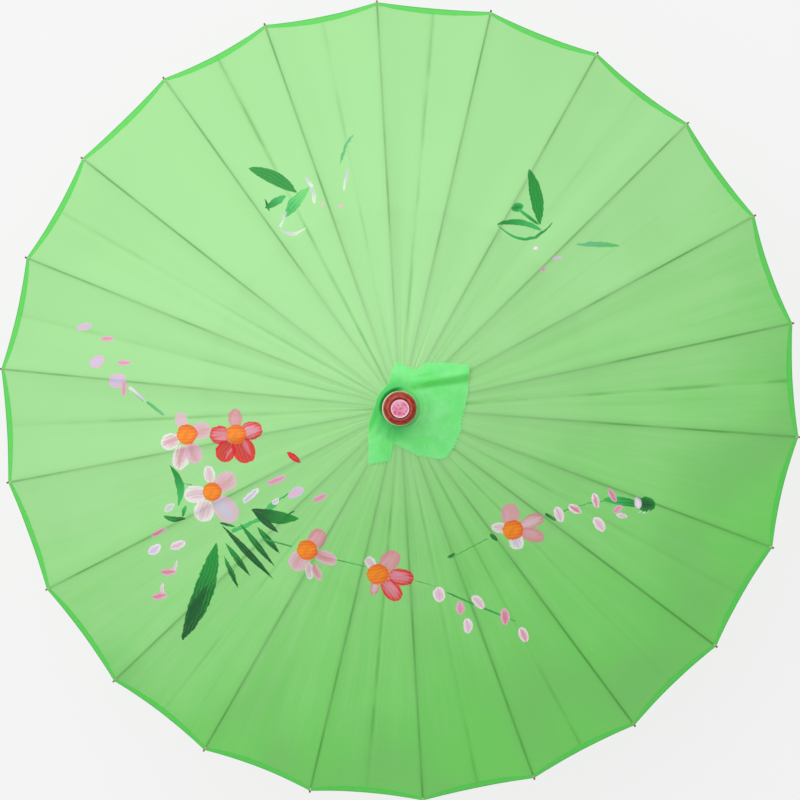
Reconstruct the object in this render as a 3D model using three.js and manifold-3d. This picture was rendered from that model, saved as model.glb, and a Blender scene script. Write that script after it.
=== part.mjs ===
// Hand-painted cloth parasol with a turned wooden frame: 22 ribs, 22 stretchers, a sliding runner,
// a straight pole with a spring catch, a handle and a lacquered finial.
// Units are millimetres. +Z runs up the pole and the origin is the middle of the handle's end face.
// The parasol is built open, which is its rest pose.

import * as THREE from 'three';
import { mergeVertices } from 'three/addons/utils/BufferGeometryUtils.js';
import Module from 'manifold-3d';

const wasm = await Module();
wasm.setup();

// ---------------------------------------------------------------- driving dimensions

const RIB_COUNT = 22;
const FIRST_RIB_DEG = 93.3; // azimuth of rib_01; the others follow clockwise
const OPEN_DIAMETER = 820; // rib tip to opposite rib tip
const TOTAL_HEIGHT = 545; // handle end to finial top

// The frame is a set of equal-armed linkages. The stretcher is as long as the arm of the rib that it
// holds, and the hub and the runner have the same hinge circle, so the runner moves straight along the
// pole and every angle keeps a constant ratio to the rib's own angle.
const HINGE_RADIUS = 13;
const HINGE_HEIGHT = 516;
const ARM_LENGTH = 190;
const RIB_SLOPE_DEG = 20;

const RIB_WIDTH = 2.8;
const RIB_TIP_WIDTH = 1.9;
const RIB_HEIGHT = 2.6;
const RIB_TIP_HEIGHT = 1.8;
const RIB_CAMBER = 4;
const RIB_BODY_START = 10;
const PIVOT_DROP = 3.6; // rib centreline down to the stretcher's pivot

const TONGUE = 1.5; // thickness of the tongues in the hub and runner slots
const SLOT = 2.1; // width of those slots
const LUG_WIDTH = 4.2; // forked lug under each rib
const LUG_SLOT = 1.9;
const FORK_TONGUE = 1.3; // thickness of the stretcher's outer tongue
const EYE_RADIUS = 2.1;
const HOLE_RADIUS = 1.0; // corner radius of the small eyes
const WIRE_RADIUS = 0.5;

const STRETCHER_WIDTH = 2.8;
const STRETCHER_HEIGHT = 3.0;
const STRETCHER_TONGUE_LENGTH = 16;

const POLE_RADIUS = 5.5;
const GAP = 0.3; // clearance between neighbouring pieces

const HUB_RADIUS = 17;
const SLOT_FLOOR_RADIUS = 10.6;
const HUB_TEETH_BELOW = 4.2;
const HUB_TEETH_ABOVE = 2.6;
const HUB_NECK_RADIUS = 10.6;

const CLOTH = 0.8; // thickness of the canopy shell
const CLOTH_LIFT = 0.35; // gap between the ribs and the canopy
const HEAD_CLOTH = 0.5;
const GORE_SAG = 2.2; // how far the cloth hangs under the straight line between two ribs

const FINIAL_RADIUS = 16.25;
const PEG_RADIUS = 9.4;
const HANDLE_LENGTH = 105;

// ---------------------------------------------------------------- derived values

const RAD = Math.PI / 180;
const RIB_STEP = (2 * Math.PI) / RIB_COUNT;
const COLUMNS = RIB_COUNT * 2;
const ribAzimuth = (k) => FIRST_RIB_DEG * RAD - k * RIB_STEP;
const RIB_LENGTH = (OPEN_DIAMETER / 2 - HINGE_RADIUS) / Math.cos(RIB_SLOPE_DEG * RAD);
const camberAt = (s) => 4 * RIB_CAMBER * (s / RIB_LENGTH) * (1 - s / RIB_LENGTH);

// The stretcher's pivot in the rib's own frame: s along the chord, n square to it.
const PIVOT_N = camberAt(ARM_LENGTH) - PIVOT_DROP;
const PIVOT_S = Math.sqrt(ARM_LENGTH ** 2 - PIVOT_N ** 2);
const ARM_SLOPE = RIB_SLOPE_DEG * RAD - Math.atan2(PIVOT_N, PIVOT_S);
const PIVOT_RADIUS = HINGE_RADIUS + ARM_LENGTH * Math.cos(ARM_SLOPE);
const PIVOT_HEIGHT = HINGE_HEIGHT - ARM_LENGTH * Math.sin(ARM_SLOPE);
const RUNNER_HEIGHT = HINGE_HEIGHT - 2 * ARM_LENGTH * Math.sin(ARM_SLOPE);

// ---------------------------------------------------------------- materials

const COLOURS = {
  cloth: [0x8fdc7c, 0.55, 0],
  headCloth: [0x62d870, 0.55, 0],
  rib: [0x6b4a2c, 0.6, 0],
  stretcher: [0xb98a55, 0.6, 0],
  turnedWood: [0x8a5a33, 0.5, 0],
  lacquer: [0x3a0f0c, 0.15, 0],
  peg: [0xe6cfc8, 0.5, 0],
  washer: [0xefe6cf, 0.6, 0],
  steel: [0xa9abad, 0.35, 1],
  brass: [0xb58d3d, 0.35, 1],
  thread: [0xe2dccb, 0.8, 0],
};

function materialOf(kind) {
  const [color, roughness, metalness] = COLOURS[kind];
  return new THREE.MeshStandardMaterial({ color, roughness, metalness });
}

// ---------------------------------------------------------------- helpers

// A closed geometry with its shared vertices merged, as a solid that can be joined and cut.
function solidOf(geometry) {
  const bare = geometry.clone();
  bare.deleteAttribute('normal');
  bare.deleteAttribute('uv');
  const merged = mergeVertices(bare, 1e-4);
  return new wasm.Manifold(
    new wasm.Mesh({
      numProp: 3,
      vertProperties: new Float32Array(merged.attributes.position.array),
      triVerts: new Uint32Array(merged.index.array),
    }),
  );
}

function geometryOf(solid) {
  const mesh = solid.getMesh();
  const geometry = new THREE.BufferGeometry();
  geometry.setAttribute('position', new THREE.BufferAttribute(new Float32Array(mesh.vertProperties), 3));
  geometry.setIndex(new THREE.BufferAttribute(new Uint32Array(mesh.triVerts), 1));
  return geometry;
}

const parasol = new THREE.Group();

function addMesh(name, geometry, kind) {
  const mesh = new THREE.Mesh(geometry, materialOf(kind));
  mesh.name = name;
  parasol.add(mesh);
  return mesh;
}

// A body of revolution about +Z. points are [radius, z] pairs that start and end on the axis, or that
// come back to the first pair.
function turned(points, segments, turn = 0) {
  const profile = points.map(([r, z]) => new THREE.Vector2(r, z));
  const geometry = new THREE.LatheGeometry(profile, segments);
  geometry.rotateX(Math.PI / 2);
  geometry.rotateZ(turn);
  return orientOut(geometry);
}

// Flips a closed geometry's triangles if they point inwards.
function orientOut(geometry) {
  const flat = geometry.index ? geometry.toNonIndexed() : geometry;
  const p = flat.attributes.position;
  const [a, b, c] = [new THREE.Vector3(), new THREE.Vector3(), new THREE.Vector3()];
  let volume = 0;
  for (let i = 0; i < p.count; i += 3) {
    a.fromBufferAttribute(p, i);
    b.fromBufferAttribute(p, i + 1);
    c.fromBufferAttribute(p, i + 2);
    volume += a.dot(b.cross(c));
  }
  if (volume > 0) return flat;
  for (let i = 0; i < p.count; i += 3) {
    b.fromBufferAttribute(p, i + 1);
    c.fromBufferAttribute(p, i + 2);
    p.setXYZ(i + 1, c.x, c.y, c.z);
    p.setXYZ(i + 2, b.x, b.y, b.z);
  }
  return flat;
}

// A plate whose outline is given as [s, n] pairs in a rib's side view, centred across its thickness.
// The result has x along the rib, y across it and z up.
function plate(outline, thickness) {
  const shape = new THREE.Shape(outline.map(([s, n]) => new THREE.Vector2(s, n)));
  const geometry = new THREE.ExtrudeGeometry(shape, { depth: thickness, bevelEnabled: false });
  geometry.translate(0, 0, -thickness / 2);
  geometry.rotateX(Math.PI / 2);
  return solidOf(geometry);
}

// A plate whose outline is given in the plan view, standing between two heights.
function planPlate(outline, low, high) {
  const shape = new THREE.Shape(outline.map(([x, y]) => new THREE.Vector2(x, y)));
  const geometry = new THREE.ExtrudeGeometry(shape, { depth: high - low, bevelEnabled: false });
  geometry.translate(0, 0, low);
  return solidOf(geometry);
}

// A round bar across the rib at (s, n).
function crossBar(radius, width, s, n, sides = 5) {
  const geometry = new THREE.CylinderGeometry(radius, radius, width, sides);
  geometry.translate(s, 0, n);
  return solidOf(geometry);
}

// A ring of wire about the pole.
function wireRing(ringRadius, wireRadius, height, segments, sides, turn) {
  const circle = [];
  for (let i = 0; i <= sides; i += 1) {
    const a = ((i % sides) / sides) * 2 * Math.PI;
    circle.push([ringRadius + wireRadius * Math.cos(a), height + wireRadius * Math.sin(a)]);
  }
  return turned(circle, segments, turn);
}

function arc(cx, cy, radius, fromDeg, toDeg, count) {
  const points = [];
  for (let i = 0; i <= count; i += 1) {
    const a = (fromDeg + ((toDeg - fromDeg) * i) / count) * RAD;
    points.push([cx + radius * Math.cos(a), cy + radius * Math.sin(a)]);
  }
  return points;
}

// ---------------------------------------------------------------- ribs

// Where along the rib its body starts to get narrower and lower towards the tip.
const TAPER_START = 230;
const taperAt = (s) => Math.max(0, (s - TAPER_START) / (RIB_LENGTH - TAPER_START));

function ribBody() {
  const stations = [RIB_BODY_START, 100, ARM_LENGTH, TAPER_START, 330, RIB_LENGTH];
  const halfHeight = (s) => THREE.MathUtils.lerp(RIB_HEIGHT, RIB_TIP_HEIGHT, taperAt(s)) / 2;
  const top = stations.map((s) => [s, camberAt(s) + halfHeight(s)]);
  const bottom = stations.map((s) => [s, camberAt(s) - halfHeight(s)]).reverse();
  const shape = new THREE.Shape([...top, ...bottom].map(([s, n]) => new THREE.Vector2(s, n)));
  const geometry = new THREE.ExtrudeGeometry(shape, { depth: RIB_WIDTH, bevelEnabled: false });
  geometry.translate(0, 0, -RIB_WIDTH / 2);
  geometry.rotateX(Math.PI / 2);
  const p = geometry.attributes.position;
  for (let i = 0; i < p.count; i += 1) {
    p.setY(i, p.getY(i) * THREE.MathUtils.lerp(1, RIB_TIP_WIDTH / RIB_WIDTH, taperAt(p.getX(i))));
  }
  return solidOf(geometry);
}

function ribGeometry() {
  const half = 1.15;
  const tongueEnd = RIB_BODY_START + 3;
  const tongue = plate(
    [
      ...arc(0, 0, EYE_RADIUS, 33, 327, 5),
      [tongueEnd, camberAt(tongueEnd) - half],
      [tongueEnd, camberAt(tongueEnd) + half],
    ],
    TONGUE,
  );
  const lugTop = camberAt(ARM_LENGTH) - 0.6;
  const lug = plate(
    [...arc(PIVOT_S, PIVOT_N, EYE_RADIUS, 205, 335, 3), [PIVOT_S + 5.5, lugTop], [PIVOT_S - 5.5, lugTop]],
    LUG_WIDTH,
  );
  const forkTop = PIVOT_N + EYE_RADIUS + GAP;
  const fork = plate(
    [
      [PIVOT_S - 8, PIVOT_N - 6],
      [PIVOT_S + 8, PIVOT_N - 6],
      [PIVOT_S + 8, forkTop],
      [PIVOT_S - 8, forkTop],
    ],
    LUG_SLOT,
  );
  const rib = ribBody()
    .add(tongue)
    .add(lug)
    .subtract(fork)
    .subtract(crossBar(HOLE_RADIUS, 10, 0, 0))
    .subtract(crossBar(HOLE_RADIUS, 10, PIVOT_S, PIVOT_N));
  return geometryOf(rib);
}

// ---------------------------------------------------------------- stretchers

function stretcherGeometry() {
  const half = STRETCHER_HEIGHT / 2;
  const start = STRETCHER_TONGUE_LENGTH;
  const end = ARM_LENGTH - 5;
  const body = plate(
    [
      [start, -half],
      [end, -half + 0.5],
      [end, half - 0.5],
      [start, half],
    ],
    STRETCHER_WIDTH,
  );
  const inner = plate([...arc(0, 0, EYE_RADIUS, 35, 325, 5), [start + 2, -1.2], [start + 2, 1.2]], TONGUE);
  const eye = arc(ARM_LENGTH, 0, EYE_RADIUS - 0.1, -143, 143, 5);
  const outer = plate([...eye, [end - 2, 0.9], [end - 2, -0.9]], FORK_TONGUE);
  const stretcher = body
    .add(inner)
    .add(outer)
    .subtract(crossBar(HOLE_RADIUS, 10, 0, 0))
    .subtract(crossBar(HOLE_RADIUS, 10, ARM_LENGTH, 0));
  return geometryOf(stretcher);
}

const ribShape = ribGeometry();
const stretcherShape = stretcherGeometry();

for (let k = 0; k < RIB_COUNT; k += 1) {
  const label = String(k + 1).padStart(2, '0');
  const spoke = new THREE.Group();
  spoke.rotation.z = ribAzimuth(k);
  parasol.add(spoke);

  const rib = new THREE.Mesh(ribShape, materialOf('rib'));
  rib.name = `rib_${label}`;
  rib.position.set(HINGE_RADIUS, 0, HINGE_HEIGHT);
  rib.rotation.y = RIB_SLOPE_DEG * RAD;
  spoke.add(rib);

  const stretcher = new THREE.Mesh(stretcherShape, materialOf('stretcher'));
  stretcher.name = `stretcher_${label}`;
  stretcher.position.set(HINGE_RADIUS, 0, RUNNER_HEIGHT);
  stretcher.rotation.y = -ARM_SLOPE;
  spoke.add(stretcher);
}

// ---------------------------------------------------------------- hub and runner

const BORE = POLE_RADIUS + GAP;
const RUNNER_BORE = POLE_RADIUS + 0.4;
const ringTurn = ribAzimuth(0) + RIB_STEP / 2;
// Wire rings and channels have one straight side per rib, so their corners lie a little further out.
const ringRadius = HINGE_RADIUS / Math.cos(RIB_STEP / 2);

// A disc with one slot for each rib, between two heights.
function toothedDisc(low, high) {
  const outline = [];
  const outer = Math.sqrt(HUB_RADIUS ** 2 - (SLOT / 2) ** 2);
  for (let k = RIB_COUNT - 1; k >= 0; k -= 1) {
    const a = ribAzimuth(k);
    const slotCorners = [
      [outer, -SLOT / 2],
      [SLOT_FLOOR_RADIUS, -SLOT / 2],
      [SLOT_FLOOR_RADIUS, SLOT / 2],
      [outer, SLOT / 2],
    ];
    for (const [r, t] of slotCorners) {
      outline.push([r * Math.cos(a) - t * Math.sin(a), r * Math.sin(a) + t * Math.cos(a)]);
    }
  }
  return planPlate(outline, low, high);
}

// A turned core with a toothed disc round it, a channel for the hinge wire and a bore for the pole.
function notched(corePoints, height, below, above, bore) {
  const channel = wireRing(ringRadius, 1.1, height, RIB_COUNT, 4, ringTurn);
  const borePoints = [
    [0, height - 60],
    [bore, height - 60],
    [bore, height + 60],
    [0, height + 60],
  ];
  const boreCut = turned(borePoints, 24);
  return toothedDisc(height - below, height + above)
    .add(solidOf(turned(corePoints, 24)))
    .subtract(solidOf(channel))
    .subtract(solidOf(boreCut));
}

const hubTop = HINGE_HEIGHT + HUB_TEETH_ABOVE;
const hubBottom = HINGE_HEIGHT - HUB_TEETH_BELOW;
const hubEnd = hubBottom - 11;
const hubCore = [
  [0, hubEnd],
  [8.2, hubEnd],
  [9, hubEnd + 1],
  [9, hubBottom + 1],
  [HUB_NECK_RADIUS - 0.1, hubBottom + 1],
  [HUB_NECK_RADIUS - 0.1, hubTop + 6.6],
  [0, hubTop + 6.6],
];
const pinHeight = hubBottom - 6;
const pinHole = new THREE.CylinderGeometry(1.3, 1.3, 30, 10);
pinHole.translate(0, 0, pinHeight);
const pinCut = solidOf(pinHole);

const hub = notched(hubCore, HINGE_HEIGHT, HUB_TEETH_BELOW, HUB_TEETH_ABOVE, BORE);
addMesh('top_hub', geometryOf(hub.subtract(pinCut)), 'turnedWood');

const pin = new THREE.CylinderGeometry(1, 1, 17, 10);
pin.translate(0, 0, pinHeight);
addMesh('hub_pin', pin, 'brass');

const runnerTop = RUNNER_HEIGHT + 3;
const runnerBottom = RUNNER_HEIGHT - 4;
const runnerEnd = RUNNER_HEIGHT - 26;
const runnerCore = [
  [0, runnerEnd],
  [8.6, runnerEnd],
  [9.4, runnerEnd + 1],
  [9.4, runnerEnd + 5],
  [8.4, runnerEnd + 6.5],
  [8.4, runnerBottom - 2.5],
  [HUB_NECK_RADIUS - 0.1, runnerBottom + 1],
  [HUB_NECK_RADIUS - 0.1, runnerTop - 1],
  [8.6, runnerTop + 2],
  [8.6, runnerTop + 5],
  [0, runnerTop + 5],
];
addMesh('runner', geometryOf(notched(runnerCore, RUNNER_HEIGHT, 4, 3, RUNNER_BORE)), 'turnedWood');

addMesh('top_ring_wire', wireRing(ringRadius, WIRE_RADIUS, HINGE_HEIGHT, RIB_COUNT, 5, ringTurn), 'steel');
const runnerWire = wireRing(ringRadius, WIRE_RADIUS, RUNNER_HEIGHT, RIB_COUNT, 5, ringTurn);
addMesh('runner_ring_wire', runnerWire, 'steel');
const threadTurn = ribAzimuth(0) + RIB_STEP / 4;
const threadRadius = PIVOT_RADIUS / Math.cos(RIB_STEP / 4);
addMesh('pivot_thread', wireRing(threadRadius, WIRE_RADIUS, PIVOT_HEIGHT, COLUMNS, 4, threadTurn), 'thread');

// ---------------------------------------------------------------- pole and catch

const catchTop = runnerEnd - 0.4;
const catchBottom = catchTop - 30;
const catchReach = POLE_RADIUS + 2.8;
const catchSlotTop = catchTop + 1.2;
const poleBottom = 20;
const poleTop = HINGE_HEIGHT + 17;

const poleProfile = [
  [0, poleBottom],
  [POLE_RADIUS - 0.6, poleBottom],
  [POLE_RADIUS, poleBottom + 0.6],
  [POLE_RADIUS, poleTop - 0.6],
  [POLE_RADIUS - 0.6, poleTop],
  [0, poleTop],
];
const poleBlank = solidOf(turned(poleProfile, 24));
// The catch sits in a slot on the -Y side.
const catchSlot = new THREE.BoxGeometry(1.9, POLE_RADIUS + 1, catchSlotTop - catchBottom + 0.7);
catchSlot.translate(0, -(POLE_RADIUS + 1) / 2, (catchSlotTop + catchBottom - 0.7) / 2);
addMesh('pole', geometryOf(poleBlank.subtract(solidOf(catchSlot)).subtract(pinCut)), 'turnedWood');

// Leaf spring with a sloped shoulder; the runner's end rests on the shoulder's top.
const catchOutline = [
  [-(POLE_RADIUS - 3.4), catchBottom],
  [-(POLE_RADIUS - 1.6), catchBottom],
  [-(POLE_RADIUS - 0.2), catchBottom + 10],
  [-catchReach, catchTop - 6],
  [-catchReach, catchTop],
  [-(POLE_RADIUS - 2.2), catchTop],
  [-(POLE_RADIUS - 2.2), catchBottom + 12],
];
const catchShape = new THREE.Shape(catchOutline.map(([y, z]) => new THREE.Vector2(y, z)));
const catchGeometry = new THREE.ExtrudeGeometry(catchShape, { depth: 1.2, bevelEnabled: false });
catchGeometry.translate(0, 0, -0.6);
catchGeometry.rotateX(Math.PI / 2);
catchGeometry.rotateZ(Math.PI / 2);
addMesh('catch_spring', orientOut(catchGeometry), 'steel');

// ---------------------------------------------------------------- handle

const handleProfile = [
  [0, 0],
  [9.8, 0],
  [11, 1.2],
  [11.8, 10],
  [12.6, 26],
  [12.9, 42],
  [12.2, 62],
  [10.4, 86],
  [9.1, 99],
  [10.2, 101],
  [10.2, 103.4],
  [9.2, HANDLE_LENGTH],
  [BORE, HANDLE_LENGTH],
  [BORE, poleBottom - GAP],
  [0, poleBottom - GAP],
];
addMesh('handle', turned(handleProfile, 24), 'turnedWood');

const collarBottom = HANDLE_LENGTH + GAP;
const collarProfile = [
  [BORE, collarBottom],
  [8.4, collarBottom],
  [8.8, collarBottom + 0.6],
  [8.8, collarBottom + 2.2],
  [7.6, collarBottom + 3.6],
  [BORE, collarBottom + 3.6],
  [BORE, collarBottom],
];
addMesh('handle_collar', turned(collarProfile, 24), 'brass');

// ---------------------------------------------------------------- canopy

// Height of the cloth's underside over a rib, and its sag midway between two ribs.
const clothRows = [
  { r: HUB_NECK_RADIUS + 0.5, z: hubTop + GAP },
  { r: HUB_RADIUS + 0.6, z: hubTop + GAP },
  { r: 30, z: null },
  { r: 84, z: null },
  { r: 140, z: null },
  { r: 200, z: null },
  { r: 255, z: null },
  { r: 310, z: null },
  { r: 360, z: null },
  { r: OPEN_DIAMETER / 2 - 2, z: null },
];

function ribTopHeight(r) {
  const slope = RIB_SLOPE_DEG * RAD;
  const s = (r - HINGE_RADIUS) / Math.cos(slope);
  return HINGE_HEIGHT - s * Math.sin(slope) + (camberAt(s) + RIB_HEIGHT / 2) / Math.cos(slope);
}

// A point of the cloth's underside: column is even on a rib and odd midway between two ribs.
function clothPoint(row, column, lift) {
  const base = row.z === null ? ribTopHeight(row.r) + CLOTH_LIFT : row.z;
  const onRib = column % 2 === 0;
  const share = Math.min(1, Math.max(0, (row.r - 30) / 220));
  const radius = onRib || row.z !== null ? row.r : row.r * Math.cos(RIB_STEP / 2) - share * 0.9;
  const sag = onRib ? 0 : GORE_SAG * share;
  const a = ribAzimuth(0) - (column * RIB_STEP) / 2;
  return new THREE.Vector3(radius * Math.cos(a), radius * Math.sin(a), base - sag + lift);
}

// A closed sheet from a grid of points: rows from the inside outwards, columns once around.
function closedSheet(underside, topside) {
  const rows = underside.length;
  const columns = underside[0].length;
  const positions = [...underside.flat(), ...topside.flat()].flatMap((p) => [p.x, p.y, p.z]);
  const under = (i, j) => i * columns + (j % columns);
  const above = (i, j) => rows * columns + under(i, j);
  const index = [];
  const quad = (a, b, c, d) => index.push(a, b, c, a, c, d);
  for (let j = 0; j < columns; j += 1) {
    for (let i = 0; i < rows - 1; i += 1) {
      quad(above(i, j), above(i, j + 1), above(i + 1, j + 1), above(i + 1, j));
      quad(under(i, j), under(i + 1, j), under(i + 1, j + 1), under(i, j + 1));
    }
    quad(under(0, j), under(0, j + 1), above(0, j + 1), above(0, j));
    quad(above(rows - 1, j), above(rows - 1, j + 1), under(rows - 1, j + 1), under(rows - 1, j));
  }
  const geometry = new THREE.BufferGeometry();
  geometry.setAttribute('position', new THREE.Float32BufferAttribute(positions, 3));
  geometry.setIndex(index);
  return orientOut(geometry);
}

function clothGrid(lift) {
  const grid = clothRows.map((row) => {
    const points = [];
    for (let column = 0; column < COLUMNS; column += 1) {
      points.push(clothPoint(row, column, lift));
    }
    return points;
  });
  return grid;
}
addMesh('canopy', closedSheet(clothGrid(0), clothGrid(CLOTH)), 'cloth');

// ---------------------------------------------------------------- head cloth

// Corners of the small second cloth round the finial, as [x, y].
const headCorners = [
  [72, 44],
  [20, 37],
  [-5, 47],
  [-19, 26],
  [-24, 12],
  [-30, -6],
  [-34, -21],
  [-35, -44],
  [-33, -62],
  [-11, -56],
  [-9, -40],
  [20, -44],
  [45, -54],
  [55, -47],
  [62, -20],
  [72, 8],
];

// Distance from the axis to the patch's edge in a direction.
function headEdge(angle) {
  const dir = [Math.cos(angle), Math.sin(angle)];
  let reach = 40;
  for (let i = 0; i < headCorners.length; i += 1) {
    const [ax, ay] = headCorners[i];
    const [bx, by] = headCorners[(i + 1) % headCorners.length];
    const [ex, ey] = [bx - ax, by - ay];
    const cross = dir[0] * ey - dir[1] * ex;
    if (Math.abs(cross) > 1e-9) {
      const t = (ax * ey - ay * ex) / cross;
      const u = (ax * dir[1] - ay * dir[0]) / cross;
      if (t > 0 && u >= 0 && u <= 1) reach = t;
    }
  }
  return reach;
}

// A point on the canopy's upper face, in one of its columns.
function onCanopy(radius, column, lift) {
  const inner = radius > 30 ? 2 : 1;
  const low = clothPoint(clothRows[inner], column, lift);
  const high = clothPoint(clothRows[inner + 1], column, lift);
  return low.lerp(high, (radius - clothRows[inner].r) / (clothRows[inner + 1].r - clothRows[inner].r));
}

function headGrid(lift) {
  const grid = [[], [], [], []];
  for (let column = 0; column < COLUMNS; column += 1) {
    const angle = ribAzimuth(0) - (column * RIB_STEP) / 2;
    const edge = Math.max(34, headEdge(angle));
    grid[0].push(clothPoint(clothRows[0], column, lift));
    grid[1].push(clothPoint(clothRows[1], column, lift));
    grid[2].push(clothPoint(clothRows[2], column, lift));
    grid[3].push(onCanopy(edge, column, lift));
  }
  return grid;
}
const headLift = CLOTH + GAP;
addMesh('head_cloth', closedSheet(headGrid(headLift), headGrid(headLift + HEAD_CLOTH)), 'headCloth');

// ---------------------------------------------------------------- washer, finial and peg

const washerBottom = hubTop + GAP + headLift + HEAD_CLOTH + GAP;
const washerProfile = [
  [HUB_NECK_RADIUS + 1.1, washerBottom],
  [17, washerBottom],
  [17, washerBottom + 1],
  [HUB_NECK_RADIUS + 1.1, washerBottom + 1],
  [HUB_NECK_RADIUS + 1.1, washerBottom],
];
const washer = addMesh('head_washer', turned(washerProfile, 28), 'washer');
washer.position.set(-0.5, -0.5, 0);

const finialBottom = washerBottom + 1 + GAP;
const finialTop = TOTAL_HEIGHT - 1;
const pegBottom = TOTAL_HEIGHT - 6.5;
const finialProfile = [
  [HUB_NECK_RADIUS + 0.4, finialBottom],
  [15, finialBottom],
  [FINIAL_RADIUS, finialBottom + 1.6],
  [FINIAL_RADIUS - 0.8, finialBottom + 6],
  [FINIAL_RADIUS, finialTop - 4.5],
  [FINIAL_RADIUS - 0.7, finialTop - 1.9],
  [FINIAL_RADIUS - 2.4, finialTop - 0.4],
  [FINIAL_RADIUS - 4, finialTop],
  [PEG_RADIUS + 0.8, finialTop - 0.5],
  [PEG_RADIUS + GAP, finialTop - 1.2],
  [PEG_RADIUS + GAP, pegBottom - GAP],
  [BORE, pegBottom - GAP],
  [BORE, hubTop + 7.4],
  [HUB_NECK_RADIUS + 0.4, hubTop + 7.4],
  [HUB_NECK_RADIUS + 0.4, finialBottom],
];
addMesh('finial', turned(finialProfile, 32), 'lacquer');

const pegProfile = [
  [0, pegBottom],
  [PEG_RADIUS - 0.4, pegBottom],
  [PEG_RADIUS, pegBottom + 0.4],
  [PEG_RADIUS, TOTAL_HEIGHT - 0.7],
  [PEG_RADIUS - 0.7, TOTAL_HEIGHT],
  [0, TOTAL_HEIGHT],
];
addMesh('finial_peg', turned(pegProfile, 28), 'peg');

export default parasol;
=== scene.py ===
"""Hand-painted cloth parasol: the fine model, its materials, the floor, the lights and the camera.

Lengths are typed in millimetres and turned into metres where a mesh is made. +Z runs up the pole.
The canopy and the small cloth on its crown are smooth functions of place, cut into one panel for each
rib, midway between the ribs, so that every panel can travel with its rib.
"""

import math

import bmesh
import bpy
import numpy as np
from mathutils import Matrix, Vector


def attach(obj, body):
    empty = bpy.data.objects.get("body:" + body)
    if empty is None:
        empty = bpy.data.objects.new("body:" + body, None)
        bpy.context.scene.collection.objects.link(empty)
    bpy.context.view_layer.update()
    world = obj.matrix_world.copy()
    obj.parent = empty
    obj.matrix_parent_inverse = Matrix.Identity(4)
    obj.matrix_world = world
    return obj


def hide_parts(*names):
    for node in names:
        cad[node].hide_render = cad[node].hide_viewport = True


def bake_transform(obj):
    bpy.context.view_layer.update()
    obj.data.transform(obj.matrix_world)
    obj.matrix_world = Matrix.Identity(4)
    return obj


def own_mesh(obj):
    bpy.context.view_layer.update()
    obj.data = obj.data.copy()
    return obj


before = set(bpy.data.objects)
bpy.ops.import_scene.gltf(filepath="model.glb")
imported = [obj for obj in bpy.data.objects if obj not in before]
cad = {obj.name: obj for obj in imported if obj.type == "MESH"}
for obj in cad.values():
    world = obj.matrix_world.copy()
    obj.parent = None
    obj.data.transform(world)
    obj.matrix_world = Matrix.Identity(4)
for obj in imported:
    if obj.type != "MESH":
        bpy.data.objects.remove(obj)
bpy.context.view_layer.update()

MM = 0.001
RIB_COUNT = 22
FIRST_RIB = math.radians(93.3)
STEP = 2 * math.pi / RIB_COUNT
HINGE_RADIUS = 13.0
HINGE_HEIGHT = 516.0
PIVOT_RADIUS = 191.66
PIVOT_HEIGHT = 451.35
SLOPE = math.radians(20)
RIM_RADIUS = 408.0
RIB_LENGTH = (410 - HINGE_RADIUS) / math.cos(SLOPE)

rng = np.random.default_rng(22)


def add_object(name, data):
    obj = bpy.data.objects.new(name, data)
    bpy.context.scene.collection.objects.link(obj)
    return obj


def label(k):
    return f"{k % RIB_COUNT + 1:02d}"


def azimuth(c):
    """Direction of a rib, or of a place between ribs, counted clockwise in ribs from the first."""
    return FIRST_RIB - c * STEP

# ---------------------------------------------------------------- node trees


class Wire:
    """An output of a node. Arithmetic on it adds math nodes to its tree."""

    def __init__(self, tree, socket):
        self.tree = tree
        self.socket = socket

    def __add__(self, other):
        return calc("ADD", self, other)

    def __sub__(self, other):
        return calc("SUBTRACT", self, other)

    def __rsub__(self, other):
        return calc("SUBTRACT", other, self)

    def __mul__(self, other):
        return calc("MULTIPLY", self, other)

    def __truediv__(self, other):
        return calc("DIVIDE", self, other)


def add(tree, kind, values=None, output=0, **settings):
    """Adds a node with its settings, sets or joins its inputs, and gives one of its outputs."""
    made = tree.nodes.new(kind)
    for name, value in settings.items():
        setattr(made, name, value)
    for key, value in (values or {}).items():
        if isinstance(value, Wire):
            tree.links.new(value.socket, made.inputs[key])
        else:
            made.inputs[key].default_value = value
    return Wire(tree, made.outputs[output])


def calc(operation, a, b=0.0, clamp=False):
    tree = a.tree if isinstance(a, Wire) else b.tree
    return add(tree, "ShaderNodeMath", {0: a, 1: b}, operation=operation, use_clamp=clamp)


def ramp(value, low, high, at_low=0.0, at_high=1.0):
    """A soft step of a value between two limits."""
    values = {"Value": value, "From Min": low, "From Max": high, "To Min": at_low, "To Max": at_high}
    return add(value.tree, "ShaderNodeMapRange", values, interpolation_type="SMOOTHSTEP")


def mix(share, a, b, blend="MIX"):
    """Mixes two colours."""
    return add(share.tree, "ShaderNodeMix", {0: share, 6: a, 7: b}, 2, data_type="RGBA", blend_type=blend)


def noise(vector, scale=1.0, detail=2.0, roughness=0.5, distortion=0.0):
    """Noise at a place. With three scales it is drawn out along one of them."""
    if isinstance(scale, tuple):
        vector, scale = stretched(vector, *scale), 1.0
    values = {"Vector": vector, "Scale": scale, "Detail": detail}
    values.update({"Roughness": roughness, "Distortion": distortion})
    return add(vector.tree, "ShaderNodeTexNoise", values)


def vector_math(operation, a, b=(0, 0, 0), output=0):
    return add(a.tree, "ShaderNodeVectorMath", {0: a, 1: b}, output, operation=operation)


def stretched(vector, *scales):
    """A vector with its parts scaled, to draw a pattern out along one of them."""
    return vector_math("MULTIPLY", vector, scales)


def split(vector):
    """The three parts of a vector."""
    made = add(vector.tree, "ShaderNodeSeparateXYZ", {0: vector}).socket.node
    return [Wire(vector.tree, socket) for socket in made.outputs]


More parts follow.
